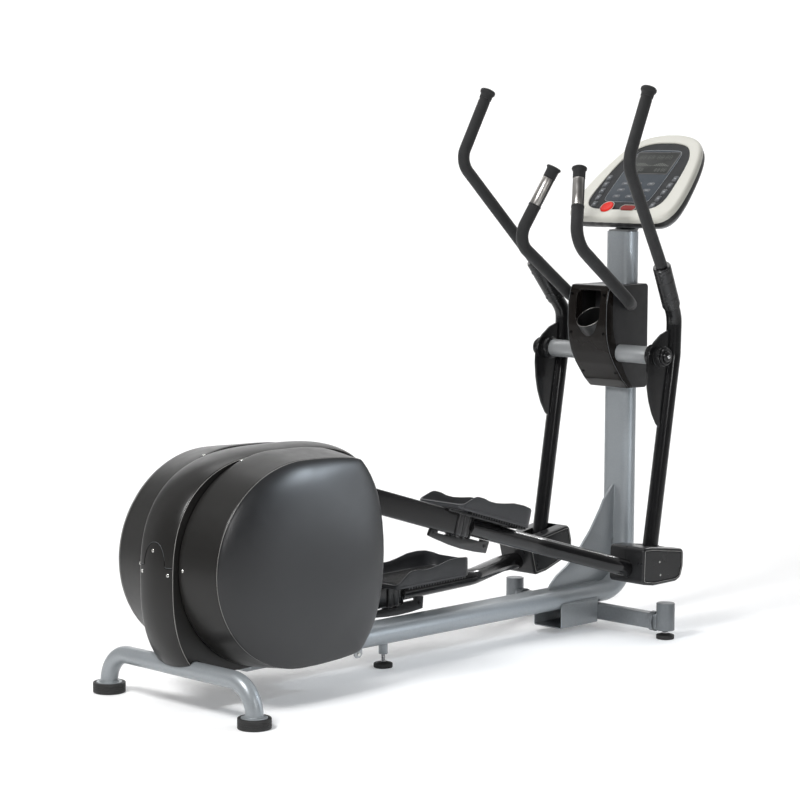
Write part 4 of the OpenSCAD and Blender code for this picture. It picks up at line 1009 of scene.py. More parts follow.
# ------------------------------------------------------------------ fixed handlebars
FH = [A(1565, 52, 1443), A(1474, 120, 1221), A(1735, 113, 1035), A(1838, 50, 1003)]
FD = unit(FH[1] - FH[0])
bars, grips, caps = [], [], []
for s, nm in ((1, "left"), (-1, "right")):
    p, _ = resample(fillet(FH, 70, 18), step=8)
    bars.append(sided(sweep(p, 12.5, 32), s))
    P = fillet([FH[0] + FD * 126, FH[1], FH[2], FH[2] + (FH[3] - FH[2]) * 0.60], 70, 20)
    P, d = resample(P, [0.5, 1.2, 2.2], step=7)
    L = d[-1]
    e0, e1 = np.clip(d / 1.5, 0, 1), np.clip((L - d) / 3.5, 0, 1)
    r = 19.4 + 0.12 * np.sin(d / 27.0) - 0.8 * (1 - np.sqrt(1 - (1 - e0) ** 2)) - 2.4 * (1 - np.sqrt(1 - (1 - e1) ** 2))
    grips.append(sided(sweep(P, r, 40), s))
    cap = [(-6, 0.5), (-5.9, 8), (-5.4, 16), (-4.4, 21.0), (-2.8, 23.2), (-0.6, 24.0), (1.6, 23.8), (3.2, 22.9), (5.0, 21.2), (9, 19.9), (33.0, 19.5), (33.9, 18.9), (33.9, 13)]
    grips.append(sided(turned(cap, FH[0], FD, 48), s))
    grips.append(sided(turned([(125.9, 14), (125.9, 19.9), (126.6, 20.5), (132, 20.5), (132.8, 19.9), (133, 19.2)], FH[0], FD, 48), s))
    # contact plate: a metal half shell on each bar, with a dark strip round the rest of the bar
    ex = unit(np.cross(FD, (0, 1, 0)))
    ey = np.cross(FD, ex)
    out = []
    for c0, half in ((0.0, 0.40), (math.pi, 0.40)):
        pass
    a0, a1 = rad(28), rad(332)
    strips = []
    for lo, hi, r_o, name, mt, slot in ((rad(-84), rad(84), 19.1, "contact_metal_", M_SENSOR_AND_RIM_HIGHLIGHT, "sensor_metal"), (rad(84), rad(276), 18.75, "contact_strip_", M_BRACKET, "sensor_metal")):
        n = 30
        rings = []
        for a, dr in ((34.3, 1.1), (34.7, 0.35), (35.4, 0), (60, 0), (90, 0), (124.6, 0), (125.3, 0.35), (125.7, 1.1)):
            t = np.linspace(lo, hi, n)
            c = FH[0] + FD * a
            outer = c + (r_o - dr) * (np.cos(t)[:, None] * (-ex) + np.sin(t)[:, None] * ey)
            inner = c + 13.4 * (np.cos(t[::-1])[:, None] * (-ex) + np.sin(t[::-1])[:, None] * ey)
            rings.append(np.concatenate([outer, inner]))
        v, f = sided(loft(rings), s)
        mk(name + nm, v, f, mt, "frame", slot, ["contact_plates"] if (s > 0 and name == "contact_metal_") else (), 35)
v, f = merge(bars)
mk("fixed_bar_tubes", v, f, M_BRACKET, "frame", "bar_steel", ["fixed_handlebars"], 35)
v, f = merge(grips)
mk("fixed_bar_grips", v, f, M_FOAM, "frame", "grip_foam", ["fixed_grips"], 50)

# ------------------------------------------------------------------ console
CT = rad(-41.4)


def con(pts):
    """console axes (along, across, out) -> world mm"""
    p = np.asarray(pts, float).reshape(-1, 3)
    x = p[:, 0] * math.cos(CT) + p[:, 2] * math.sin(CT)
    z = -p[:, 0] * math.sin(CT) + p[:, 2] * math.cos(CT)
    return np.stack([1831 + x, p[:, 1], 1320 + z], 1)


OUT_H = [(-52, 0), (-52, 150), (-48, 175), (-35, 193), (-15, 204), (15, 210), (60, 208), (120, 200), (190, 185), (240, 170), (283, 151), (312, 129), (332, 99), (344, 62), (350, 24), (350, 0)]
PAN_H = [(-10, 0), (-10, 100), (0, 128), (14, 144), (40, 154), (98, 152), (166, 146), (229, 135), (265, 116), (288, 96), (301, 66), (307, 30), (307, 0)]


def smooth_closed(H, n_each=4, it=2):
    """mirrors a half outline and rounds it by corner cutting"""
    P = [A(*p) for p in H]
    Q = P + [A(p[0], -p[1]) for p in P[::-1]]
    Q = [Q[i] for i in range(len(Q)) if np.linalg.norm(Q[i] - Q[i - 1]) > 1e-6]
    for _ in range(it):
        R = []
        for i in range(len(Q)):
            a, b = Q[i], Q[(i + 1) % len(Q)]
            R += [a * 0.75 + b * 0.25, a * 0.25 + b * 0.75]
        Q = R
    return np.array(Q)


def polar(P, c, n=240):
    """outline resampled at even angles about c"""
    d = P - c
    an = np.arctan2(d[:, 1], d[:, 0])
    o = np.argsort(an)
    an, rr = an[o], np.linalg.norm(d, axis=1)[o]
    an = np.r_[an[-1] - 2 * math.pi, an, an[0] + 2 * math.pi]
    rr = np.r_[rr[-1], rr, rr[0]]
    t = -math.pi + (np.arange(n) + 0.5) * 2 * math.pi / n
    r = np.interp(t, an, rr)
    return np.stack([c[0] + r * np.cos(t), c[1] + r * np.sin(t)], 1)


CC = A(150, 0)
OUTL = polar(smooth_closed(OUT_H), CC)
PANL = polar(smooth_closed(PAN_H), CC)


def cring(w, z, grow=0.0):
    """outline between the outer edge (0) and the panel edge (1) at height z"""
    P = OUTL * (1 - w) + PANL * w
    if grow:
        d = P - CC
        P = P + d / np.linalg.norm(d, axis=1)[:, None] * grow
    return con(np.stack([P[:, 0], P[:, 1], np.full(len(P), float(z))], 1))


rg = [cring(0, -17.6, -1.0), cring(0, -17.9, -0.3), cring(0, -17.2, 0), cring(0, -13, 0), cring(0, -9, 0), cring(0, -5.5, -0.35), cring(0, -2.6, -1.5),
      cring(0, -0.4, -3.4), cring(0, 1.2, -6.2), cring(0, 2.2, -9.6), cring(0.25, 2.9, -7), cring(0.45, 3.2, -4), cring(0.62, 3.2, -1.6), cring(0.80, 3.0, 0), cring(0.93, 2.6, 0),
      cring(1, 2.1, 1.6), cring(1, 1.5, 0.7), cring(1, 0.6, 0.25), cring(1, -0.8, 0.15), cring(1, -9.5, 0.15)]
inn = [cring(0, -17.6, -6), cring(0, -13, -6), cring(1, -10.2, 6)]
v, f = loft(rg + inn[::-1] + [rg[0]], False, False)
o = mk("console_frame", v, f, M_CREAM, None)


def pill(cx, cy, l, r, n=20):
    t = np.linspace(0, math.pi, n)
    a = np.stack([cx + r * np.cos(t), cy + (l - r) + r * np.sin(t)], 1)
    b = np.stack([cx - r * np.cos(t), cy - (l - r) - r * np.sin(t)], 1)
    return np.concatenate([a, b])


def cprism(P, z0, z1, edge=0.0, seg=3, edge0=0.0):
    P = np.asarray(P, float)
    rings = [np.stack([inset(P, edge0)[:, 0], inset(P, edge0)[:, 1], np.full(len(P), z0)], 1)]
    if edge0:
        rings.append(np.stack([P[:, 0], P[:, 1], np.full(len(P), z0 + edge0)], 1))
    if edge > 0:
        for k in range(seg + 1):
            t = math.pi / 2 * k / seg
            q = inset(P, edge * (1 - math.cos(t)))
            rings.append(np.stack([q[:, 0], q[:, 1], np.full(len(q), z1 - edge * (1 - math.sin(t)))], 1))
    else:
        rings.append(np.stack([P[:, 0], P[:, 1], np.full(len(P), z1)], 1))
    rings = [con(r) for r in rings]
    return loft(rings)


disc = np.array([(-2 + 23.6 * math.cos(t), 55 + 23.6 * math.sin(t)) for t in np.linspace(0, 2 * math.pi, 49)[:-1]])
boolean(o, [raw("c", *cprism(disc, -12, 20)), raw("c", *cprism(pill(-4, -32, 28.5, 11.5), -12, 20))])
dress(o, M_CREAM, "frame", ["console_bezel"], 34)

# shadow-gap band and the underside shell
v, f = loft([cring(0, -17.8, -8), cring(0, -17.8, -2.4), cring(0, -18.6, -1.7), cring(0, -20, -1.4), cring(0, -31, -1.6), cring(0, -34.6, -2.2), cring(0, -36.6, -3.4), cring(0, -37.9, -5.2), cring(0, -38.3, -9), cring(0, -17.8, -8)], False, False)
mk("console_gap_band", v, f, M_BAND, "frame", "console_dark", (), 40)
sh = [cring(0, -38.0, -6.5), cring(0, -38.3, -4.6), cring(0, -39.2, -4.2), cring(0, -42, -6.0), cring(0, -46, -9.6), cring(0, -51, -14.6), cring(0, -56, -21), cring(0, -60.5, -28.5), cring(0, -63.6, -36), cring(0, -65.4, -46), cring(0, -65.9, -62)]
si = [cring(0, -38.0, -9.5), cring(0, -46, -13), cring(0, -56, -25), cring(0, -61.6, -40), cring(0, -62.4, -64)]
v, f = shell(sh, si)
mk("console_back_shell", v, f, M_BACK, "frame", "console_back", ["console_shell"], 45)
# rear-face fittings: recessed screws, and vent slots drawn as thin dark strips that paint the shade of the openings
pc = []
for x, y in ((20, 120), (20, -120), (230, 95), (230, -95)):
    pc.append(turned([(-3, 1), (-3, 7.5), (0.5, 7.5), (0.9, 6.9), (0.9, 4.4), (-1.4, 4.0), (-1.4, 0.4)], con([(x, y, -65.2)])[0], con([(0, 0, -1)])[0] - con([(0, 0, 0)])[0], 24))
# each vent slot is a thin dark strip on the surface: painted shade
for k in range(7):
    q = rrect(70, 3.2, 1.5)
    q = q + A(120, 0)
    q[:, 1] += (k - 3) * 9
    pc.append(cprism(q, -66.0, -65.0))
v, f = merge(pc)
mk("console_back_details", v, f, M_DARK, "frame", "console_back", (), 30)

# instrument panel: face with a raised inner island
v, f = loft([cring(1, -7.9, 0), cring(1, -1.9, 0), cring(1, -1.0, -0.6), cring(1, -0.7, -1.6), cring(0.998, -0.6, -12)], True, True)
mk("console_face", v, f, M_PANEL, "frame", "console_dark", ["console_panel"], 30)

OVH = [(26, 0), (26, 70), (30, 84), (40, 93), (170, 95), (246, 93), (262, 86), (270, 74), (272, 0)]
OV = polar(smooth_closed(OVH, it=3), A(150, 0), 160)
v, f = cprism(OV, -0.7, 0.1, 0.35, 2)
mk("console_overlay", v, f, M_OVERLAY, "frame", "console_dark", (), 30)
# thin light line round the overlay
E = np.concatenate([OV, OV[:1]])
v, f = sweep(con(np.stack([E[:, 0], E[:, 1], np.full(len(E), 0.0)], 1)), 0.75, 8, up=con([(0, 0, 1)])[0] - con([(0, 0, 0)])[0])
mk("console_overlay_edge", v, f, M_INK, "frame", "console_keys", (), 60)
# display window in a slim raised frame
W0 = rrect(107, 175, 6)
W0 = W0 + A(210.5, 0)
v, f = cprism(W0, -0.6, 0.55, 0.4, 2)
mk("display_frame", v, f, M_BAND, "frame", "console_dark", (), 30)
W1 = rrect(98, 166, 4) + A(210.5, 0)
v, f = cprism(W1, -0.5, 0.72, 0.15, 2)
mk("display_window", v, f, M_GLASS, "frame", "console_keys", ["console_keys"], 30)
# segments of the dead display, just visible: blocks of digits and a profile chart
seg_ = []


def digit(cx, cy, h, w, segs, t=1.5):
    x0, x1, xm = cx - h / 2, cx + h / 2, cx
    y0, y1 = cy + w / 2, cy - w / 2
    bars_ = {"a": (x1 - t, y1 + t, x1, y0 - t), "d": (x0, y1 + t, x0 + t, y0 - t), "g": (xm - t / 2, y1 + t, xm + t / 2, y0 - t),
             "f": (xm + 0.4, y0 - t, x1 - t, y0), "e": (x0 + t, y0 - t, xm - 0.4, y0), "b": (xm + 0.4, y1, x1 - t, y1 + t), "c": (x0 + t, y1, xm - 0.4, y1 + t)}
    for c in segs:
        a, b, cc_, d_ = bars_[c]
        seg_.append(cprism([(a, b), (cc_, b), (cc_, d_), (a, d_)], 0.70, 0.80))


for r_, (x, ys_, h, w) in enumerate(((238, (64, 50, 30, 16, -8, -22, -42, -56), 17, 10), (178, (64, 52, 38, 26, -30, -42, -56, -68), 14, 8))):
    for k, y in enumerate(ys_):
        digit(x, y, h, w, "abcdefg")
for k in range(20):
    hgt = 3 + int(7 + 6 * math.sin(k * 0.55)) * 1.0
    y = 66 - k * 6.9
    seg_.append(cprism([(196, y - 4.6), (196 + hgt, y - 4.6), (196 + hgt, y), (196, y)], 0.70, 0.80))
v, f = merge(seg_)
M_LCD = material("display_segments", (0.060, 0.066, 0.056), 0.32, var=0.1, bump=0.02, bscale=300, spec=0.3)
mk("display_segments", v, f, M_LCD, "frame", "console_keys", (), 30)

# keys: two strips of five and a centre block
kr, kc, kd = [], [], []
for sgn in (1, -1):
    for i in range(5):
        cx, cy = 14 + 31 * i, sgn * (118 + i * 4)
        q = rrect(26, 19, 6.5) + A(cx, cy)
        kr.append(cprism(q, -0.8, 0.15, 0.35, 2))
        q = rrect(23.4, 16.4, 5.6) + A(cx, cy)
        kc.append(cprism(q, -0.8, 1.75, 0.8, 3))
        q = rrect(4.2, 6.6, 1.6) + A(cx, cy)
        kd.append(cprism(q, 1.6, 1.86))
for i in (-1, 0, 1):
    for j in range(3):
        cx, cy = 52 + 30 * j, i * 52
        q = rrect(14, 28, 6) + A(cx, cy)
        kr.append(cprism(q, -0.1, 0.3, 0.15, 2))
        q = rrect(11.6, 25.4, 5) + A(cx, cy)
        kc.append(cprism(q, -0.1, 0.78, 0.3, 3))
        q = rrect(2.2, 11, 1.0) + A(cx, cy)
        kd.append(cprism(q, 0.70, 0.86))
v, f = merge(kr)
mk("key_rings", v, f, M_KEYRIM_AND_EDGE_HIGHLIGHT, "frame", "console_keys", (), 30)
v, f = merge(kc)
mk("key_caps", v, f, M_KEY, "frame", "console_keys", (), 30)
v, f = merge(kd)
mk("key_marks", v, f, M_INK, "frame", "console_keys", (), 30)

# push buttons
c0 = con([(-2, 55, 0)])[0]
cn = con([(0, 0, 1)])[0] - con([(0, 0, 0)])[0]
bt = [(-4.8, 2), (-4.8, 22.9), (3.2, 22.9), (4.4, 22.4), (5.3, 21.2), (6.1, 18.6), (6.6, 15.8), (6.7, 14.6), (6.3, 13.8), (6.0, 12.0), (5.8, 8.0), (5.7, 0.5)]
v, f = turned(bt, c0, cn, 56)
mk("stop_push_button", v, f, M_RED, "stop_push", "button_red", ["stop_button"], 34)
v, f = cprism(pill(-4, -32, 27.9, 10.9), -4.8, 4.9, 2.4, 5)
mk("start_push_button", v, f, M_RED2, "start_push", "button_red", ["start_button"], 34)
for nm_, q in (("stop_ring", None), ("start_ring", pill(-4, -32, 30.4, 13.4))):
    if q is None:
        P = np.array([(-2 + 25.4 * math.cos(t), 55 + 25.4 * math.sin(t)) for t in np.linspace(0, 2 * math.pi, 73)])
    else:
        P = np.concatenate([q, q[:1]])
    z = 3.15
    v, f = sweep(con(np.stack([P[:, 0], P[:, 1], np.full(len(P), z)], 1)), 0.95, 8, up=cn)
    mk(nm_, v, f, M_CREAM, "frame", "console_cream", (), 60)

# neck between the column and the console
N = [(1818, 1245.1), (1866, 1245.1), (1912, 1303), (1867, 1263.6), (1850, 1252), (1822, 1250)]
v, f = prism(N, -40, 40, "y", 1.2, 2)
mk("console_neck_block", v, f, M_GREY, "frame", "grey_paint", ["console_neck"], 30)

# ------------------------------------------------------------------ pedal arms
PIN = A(1711, 0, 225)
TILT = {1: -2.34, -1: 15.3}
CRK = {1: A(252.8, 0, 184.3), -1: A(299.2, 0, 591.7)}


def rot(p, deg):
    p = np.asarray(p, float)
    c, s_ = math.cos(rad(deg)), math.sin(rad(deg))
    return np.stack([p[:, 0] * c + p[:, 2] * s_, p[:, 1], -p[:, 0] * s_ + p[:, 2] * c], 1)


def armf(v, s):
    v = np.asarray(v, float).reshape(-1, 3)
    if s < 0:
        v = v * A(1, -1, 1)
    return rot(v, TILT[s]) + PIN


def rearf(v):
    return rot(np.asarray(v, float).reshape(-1, 3), 1.2) + A(-745, 0, -16)


def xprism(sec, stations, cy=0.0, cz=0.0):
    """section (y,z) along x at stations [(x, inset)]"""
    rings = []
    for x, d in stations:
        q = inset(sec, d)
        rings.append(np.stack([np.full(len(q), float(x)), q[:, 0] + cy, q[:, 1] + cz], 1))
    return loft(rings)


def ybox(pts, y0, y1, r=0.0, edge=1.0, n=3):
    P = round_poly(pts, r, n) if np.any(np.asarray(r) > 0) else np.asarray(pts, float)
    return prism(P, y0, y1, "y", edge, 2) if edge > 0 else prism(P, y0, y1, "y")


PEDH = [(-115, 49), (-104, 54), (-85, 67), (-66, 80), (-54, 85.5), (-25, 86), (0, 82), (30, 82.5), (66, 88), (107, 96.5), (150, 98.5), (187, 95), (205, 89), (213, 81), (215, 77)]
PH = np.array(PEDH)


def pedal_height(x):
    xs = np.linspace(-120, 220, 341)
    z = np.interp(xs, PH[:, 0], PH[:, 1])
    k = np.hanning(13)
    z = np.convolve(np.pad(z, 6, mode="edge"), k / k.sum(), "valid")
    return np.interp(x, xs, z)


def pedal_outline(d, n=28):
    """plan outline at inset d: square heel, broad rounded toe; returns (N,2)"""
    x0, x1, w = -114.8 + d, 214.8 - d, 90 - d
    rh, rt = max(20 - d * 0.7, 5), max(44 - d, 8)
    P = []
    for cx, cy, a0, r in ((x1 - rt, w - rt, 0, rt), (x0 + rh, w - rh, 90, rh), (x0 + rh, -w + rh, 180, rh), (x1 - rt, -w + rt, 270, rt)):
        for k in range(13):
            a = rad(a0 + 90.0 * k / 12)
            P.append((cx + r * math.cos(a), cy + r * math.sin(a)))
    P = np.array(P)
    Q = []
    for i in range(len(P)):
        a, b = P[i], P[(i + 1) % len(P)]
        m = max(1, int(np.linalg.norm(b - a) / 9))
        for k in range(m):
            Q.append(a + (b - a) * k / m)
    return np.array(Q)


def pedal(s):
    base = pedal_outline(0)
    cnt = len(base)

    def ring(d, fz, top=False):
        # same count at each inset: move along the mitred normal
        q = inset(base, d)
        z = fz(q[:, 0])
        return np.stack([q[:, 0], q[:, 1] + 110, z], 1)
    H = lambda x: pedal_height(x)
    lo = lambda x: np.full(len(x), 37.6)
    rings = [ring(2.2, lambda x: np.full(len(x), 37.3)), ring(0.6, lambda x: np.full(len(x), 37.7)), ring(0, lambda x: np.full(len(x), 39.0)), ring(0, lambda x: np.full(len(x), 44.0)),
             ring(0.7, lambda x: np.full(len(x), 44.6)), ring(0.7, lambda x: np.full(len(x), 45.6)), ring(0, lambda x: np.full(len(x), 46.2)), ring(0, lambda x: 46.2 + (H(x) - 46.2) * 0.5),
             ring(0, lambda x: H(x) - 3.2), ring(0.35, lambda x: H(x) - 1.5), ring(1.2, lambda x: H(x) - 0.5), ring(2.4, lambda x: H(x) - 0.1), ring(4.0, lambda x: H(x) - 0.1),
             ring(5.2, lambda x: H(x) - 0.6), ring(5.9, lambda x: H(x) - 2.0), ring(6.4, lambda x: 54 + (H(x) - 54) * 0.6), ring(7.2, lambda x: np.full(len(x), 51.5)), ring(8.5, lambda x: np.full(len(x), 49.0)),
             ring(11, lambda x: np.full(len(x), 47.6)), ring(16, lambda x: np.full(len(x), 47.2))]
    v, f = loft(rings, True, True)
    return armf(rearf(v), s), f


def pedal_mat(s):
    parts = []
    base = inset(pedal_outline(0), 12.5)
    rings = [np.stack([inset(base, d)[:, 0], inset(base, d)[:, 1] + 110, np.full(len(base), z)], 1) for d, z in ((0, 47.1), (0, 48.6), (0.6, 49.1), (4, 49.2))]
    parts.append(loft(rings))
    # ribs across the mat, narrowing towards the toe
    x = -92.0
    while x < 196:
        w = 70.0 if x < 160 else 70.0 - (x - 160) * 0.75
        parts.append(xprism(np.array([(-w, -1), (w, -1), (w, 0.9), (w - 1.6, 1.7), (-w + 1.6, 1.7), (-w, 0.9)]), [(x, 0.5), (x + 0.7, 0), (x + 3.1, 0), (x + 3.8, 0.5)], 110, 49.4))
        x += 8.0
    v, f = merge(parts)
    return armf(rearf(v), s), f


for s, nm in ((1, "left"), (-1, "right")):
    body = "arm_" + nm
    parts = []
    # bearing boss on the crank side and its cap
    q = CRK[s]
    v, f = turned([(110, 16.2), (110, 27), (111, 28), (149, 28), (150, 27), (150.2, 20.6), (150.8, 20), (155, 20), (156, 19), (156, 3)], q, (0, 1, 0), 44)
    parts.append(sided((v, f), s))
    # rectangular rear tube
    sec = rrect(39, 68, 6)
    v, f = xprism(sec, [(-704, 1.2), (-703.2, 0.3), (-702, 0), (-4.2, 0)], 130, 0)
    parts.append((armf(rearf(v), s), f))
    v, f = xprism(rrect(44, 72, 6), [(-5.2, 1.0), (-4.6, 0.2), (-4, 0), (-0.8, 0), (-0.2, 0.5), (0, 1.2)], 130, 0)
    parts.append((armf(rearf(v), s), f))
    # swept round front tube
    P = fillet([(-749, 130, -16), (-420, 130, -21), (-175, 228, -31), (-84, 228, -33)], 150, 18)
    P, _ = resample(P, step=12)
    v, f = sweep(P, 26, 48, up=(0, 0, 1))
    parts.append((armf(v, s), f))
    v, f = merge(parts)
    mk("pedal_arm_tubes_" + nm, v, f, M_BLACK, body, "black_paint", ["pedal_arm_" + nm], 34)
    # weld ring where the round tube meets the end plate
    t = np.linspace(0, 2 * math.pi, 80)
    c = rearf([(0.6, 130, 0)])[0]
    ring = np.stack([np.full(80, -744.2), 130 + 27 * np.cos(t), -16 + 27 * np.sin(t)], 1)
    v, f = sweep(ring, 2.3 * (1 + 0.14 * np.sin(t * 26)), 10)
    mk("arm_weld_" + nm, armf(v, s), f, M_BLACK, body, "black_paint", (), 60)
    # bracket: double clamp ring round the tube, hanging plate with two slits, seat rails
    parts = []
    for x0, x1 in ((-66, -45.5), (-42.5, -22)):
        st = []
        for k in range(9):
            t = math.pi * k / 8
            st.append((x0 + (x1 - x0) * (1 - math.cos(t)) / 2, 5.2 * (1 - math.sin(t)) ** 1.2))
        v1, f1 = xprism(rrect(55, 74.2, 9), st, 130, 0)
        parts.append((v1, f1))
    parts.append(xprism(rrect(47, 71, 6), [(-64, 0), (-24, 0)], 130, 0))
    PL = [(-152, -34.1), (-157, -55), (-119, -60), (-60, -66), (-7, -68.5), (51, -67), (100, -63), (104, -26.3), (68, -26.3), (68, -33.2), (3, -33.2), (3, -36.3), (-21, -36.3), (-21, -34.1),
          (-66, -34.1), (-66, -41.5), (-122, -41.5), (-122, -34.1)]
    parts.append(prism(round_poly(PL, [1, 4, 10, 40, 60, 20, 4, 2, 1, 1, 1, 1, 1, 1, 1, 1, 1, 1], 3), 125, 135, "y", 0.9, 2))
    for x, z0, h in ((-120, 34.1, 2.9), (150, 27.3, 9.7)):
        parts.append(prism([(x, z0), (x + 28, z0), (x + 28, z0 + h), (x, z0 + h)], 70, 190, "y", 0.5, 2))
    for t in (-31, 25.9):
        parts.append(prism([(-120, 27.3), (178, 27.3), (178, 37), (-120, 37)], 130 + t, 135.1 + t, "y", 0.5, 2))
    # moulded ribs along both lower edges of the tray
    for k in range(22):
        x = -62 + k * 11.4
        for y in (33, 187):
            parts.append(prism([(x, 37.4), (x + 6.2, 37.4), (x + 4.6, 30.0), (x + 1.6, 30.0)], y - 9, y + 9, "y", 0.4, 1))
    v, f = merge(parts)
    o = mk("pedal_bracket_frame_" + nm, armf(rearf(v), s), f, M_BRACKET, body, "bracket_paint", ["pedal_bracket_" + nm], 30)
    bl = []
    for x in (-55.8, -32.2):
        for y in (108, 152):
            hx = [(x + 6.0 * math.cos(a), y + 6.0 * math.sin(a)) for a in np.arange(6) * math.pi / 3]
            bl.append(prism(hx, -37.0, -41.0, "z", 0.7, 2))
    for x, z in ((-137, -44), (86, -44)):
        for yy, sg in ((135, 1), (125, -1)):
            bl.append(turned([(-1, 2), (-1, 5.4), (1.4, 5.4), (2.2, 4.6), (2.2, 2.6), (0.6, 2.3), (0.6, 0.4)], (x, yy, z), (0, sg, 0), 20))
    v, f = merge(bl)
    mk("bracket_bolts_" + nm, armf(rearf(v), s), f, M_BRACKET, body, "bracket_paint", (), 30)
    # foot tray and its mat
    v, f = pedal(s)
    mk("foot_tray_" + nm, v, f, M_PEDAL, body, "pedal_plastic", ["pedal_" + nm], 34)
    v, f = pedal_mat(s)
    mk("foot_mat_" + nm, v, f, M_MAT, body, "pedal_plastic", (), 30)
    # joint box
    BX = [(-108, -46), (-98, -54), (-50, -60), (60, -54), (82, -42), (92, -8), (92, 34), (84, 46), (-60, 60), (-100, 60), (-109, 52)]
    bxr = round_poly(BX, [16, 15, 24, 18, 22, 26, 20, 17, 22, 20, 16], 6)
    st = [(30, 162.6), (13.2, 162.6), (12.2, 163.2), (11.6, 164.4), (11.2, 164.4), (10.4, 162.4), (9.4, 161.2), (8.2, 161.0), (7.4, 161.0)]
    for k in range(6):
        t = math.pi / 2 * k / 5
        st.append((6.6 * (1 - math.sin(t)), 161 + 6.6 * (1 - math.cos(t))))
    nst = len(st)
    st += [(0, 224.6), (0.9, 225.0), (0.9, 226.0), (0, 226.4)]
    st += [(d, 456 - y) for d, y in st[:nst][::-1]]
    rings = []
    for d, y in st:
        q = inset(bxr, min(d, 13.2))
        if d > 14:
            m_ = q.mean(0)
            q = m_ + (q - m_) * 0.35
        rings.append(np.stack([q[:, 0], np.full(len(q), y), q[:, 1]], 1))
    v, f = loft(rings)
    v = rot(v, -13)
    o = mk("jb", armf(v, s), f, M_BOX, None)
    sv, sf = prism(round_poly([(-43, 2), (85, 2), (85, 80), (-43, 80)], 3), 201.2, 254.8, "y")
    boolean(o, [raw("c", armf(rot(sv, -13), s), sf)])
    o.name = "joint_cover_" + nm
    dress(o, M_BOX, body, ["joint_box_" + nm], 30)
    sc = []
    sm_ = [turned([(-2.6, 1.2), (-2.6, 3.4), (0.7, 3.4), (1.2, 2.8), (1.2, 1.6), (0.2, 1.2), (0.2, 0.4)], (x, 293.4, z), (0, 1, 0), 20) for x, z in ((-26, 12), (-20, -29))]
    v, f = merge(sm_)
    mk("joint_side_screws_" + nm, armf(rot(v, -13), s), f, M_ZINC, body, "joint_plastic", (), 30)
    for x, z, yo, sg in ((70, 31, 162.6, -1), (-92, -36, 162.6, -1), (-90, 42, 162.6, -1), (66, -36, 162.6, -1)):
        if True:
            sc.append(turned([(-3, 2), (-3, 6.4), (0.6, 6.4), (1.1, 5.8), (1.1, 3.2), (-0.8, 2.8), (-0.8, 0.4)], (x, yo, z), (0, sg, 0), 22))
    # light outline round both side panels of the joint box: painted highlight
    for yo in (161.1, 294.9):
        q = inset(bxr, 8.9)
        bd = np.array([(p[0], yo, p[1]) for p in np.concatenate([q, q[:1]])])
        v, f = sweep(bd, 0.95, 8, caps=True, up=(0, 1, 0))
        mk("joint_panel_bead_%s_%d" % (nm, yo > 200), armf(rot(v, -13), s), f, M_EDGE_HIGHLIGHT, body, "joint_plastic", (), 60)
    v, f = merge(sc)
    mk("joint_cover_screws_" + nm, armf(rot(v, -13), s), f, M_BRACKET, body, "joint_plastic", (), 30)
    # collar on the pin each side of the lever foot
    v, f = merge([turned([(23, 10.2), (23, 17), (24, 18), (40, 18), (41, 17), (41, 10.2)], (0, 228, 0), (0, g_, 0), 32) for g_ in (1, -1)])
    mk("pin_collars_" + nm, armf(v, s), f, M_STEEL, body, "joint_plastic", (), 30)

# crank arms
for s, nm in ((1, "left"), (-1, "right")):
    c, q = A(276, 0, 388), CRK[s]
    d = q - c
    L = np.linalg.norm(d)
    u = d / L
    nrm = A(-u[2], 0, u[0])
    web = []
    for t in np.linspace(-math.pi / 2, math.pi / 2, 17):
        p = q + (u * math.cos(t) + nrm * math.sin(t)) * 25.5
        web.append((p[0], p[2]))
    for t in np.linspace(math.pi / 2, 3 * math.pi / 2, 17):
        p = c + (u * math.cos(t) + nrm * math.sin(t)) * 33.5
        web.append((p[0], p[2]))
    parts = [prism(web, 74, 90, "y", 2.0, 3)]
    parts.append(turned([(72, 16), (72, 33), (73, 34), (91, 34), (92, 33), (92, 16)], c, (0, 1, 0), 44))
    parts.append(turned([(72.2, 10), (72.2, 25), (73.2, 26), (91.2, 26), (92, 25), (92, 14.3), (92.2, 14), (108.9, 14), (109.5, 13.4), (109.5, 2)], q, (0, 1, 0), 44))
    v, f = sided(merge(parts), s)
    mk("crank_web_" + nm, v, f, M_BRACKET, "crank", "crank_steel", ["crank_arm_" + nm], 32)

# rear access tongue on the shroud: a fine parting groove; its screws are made with the cover screws below
hp = [(66.0, 399), (58, 399), (46, 399), (42.5, 400), (41, 403), (40.5, 410), (39.5, 418), (37, 428), (33, 438), (28, 447), (21, 455.5), (12, 461), (0, 463)]
hp = hp + [(-y, z) for y, z in hp[::-1][1:]]
P = np.array([(shroud_x(y, z, 0.10), y, z) for y, z in hp])
P, _ = resample(P, step=3)
P[:, 0] = [shroud_x(p[1], p[2], 0.05) for p in P]
v, f = sweep(P, 0.85, 8, up=(1, 0, 0))
mk("hatch_parting_line", v, f, M_DARK, "frame", "shroud_plastic", (), 60)
# light line just above the parting groove: painted highlight on the groove's edge
P2 = P.copy()
P2[:, 2] += 1.5
P2[:, 0] = [shroud_x(p[1], p[2], 0.0) for p in P2]
v, f = sweep(P2, 0.55, 8, up=(1, 0, 0))
mk("hatch_lip", v, f, M_KEYRIM_AND_EDGE_HIGHLIGHT, "frame", "shroud_plastic", (), 60)

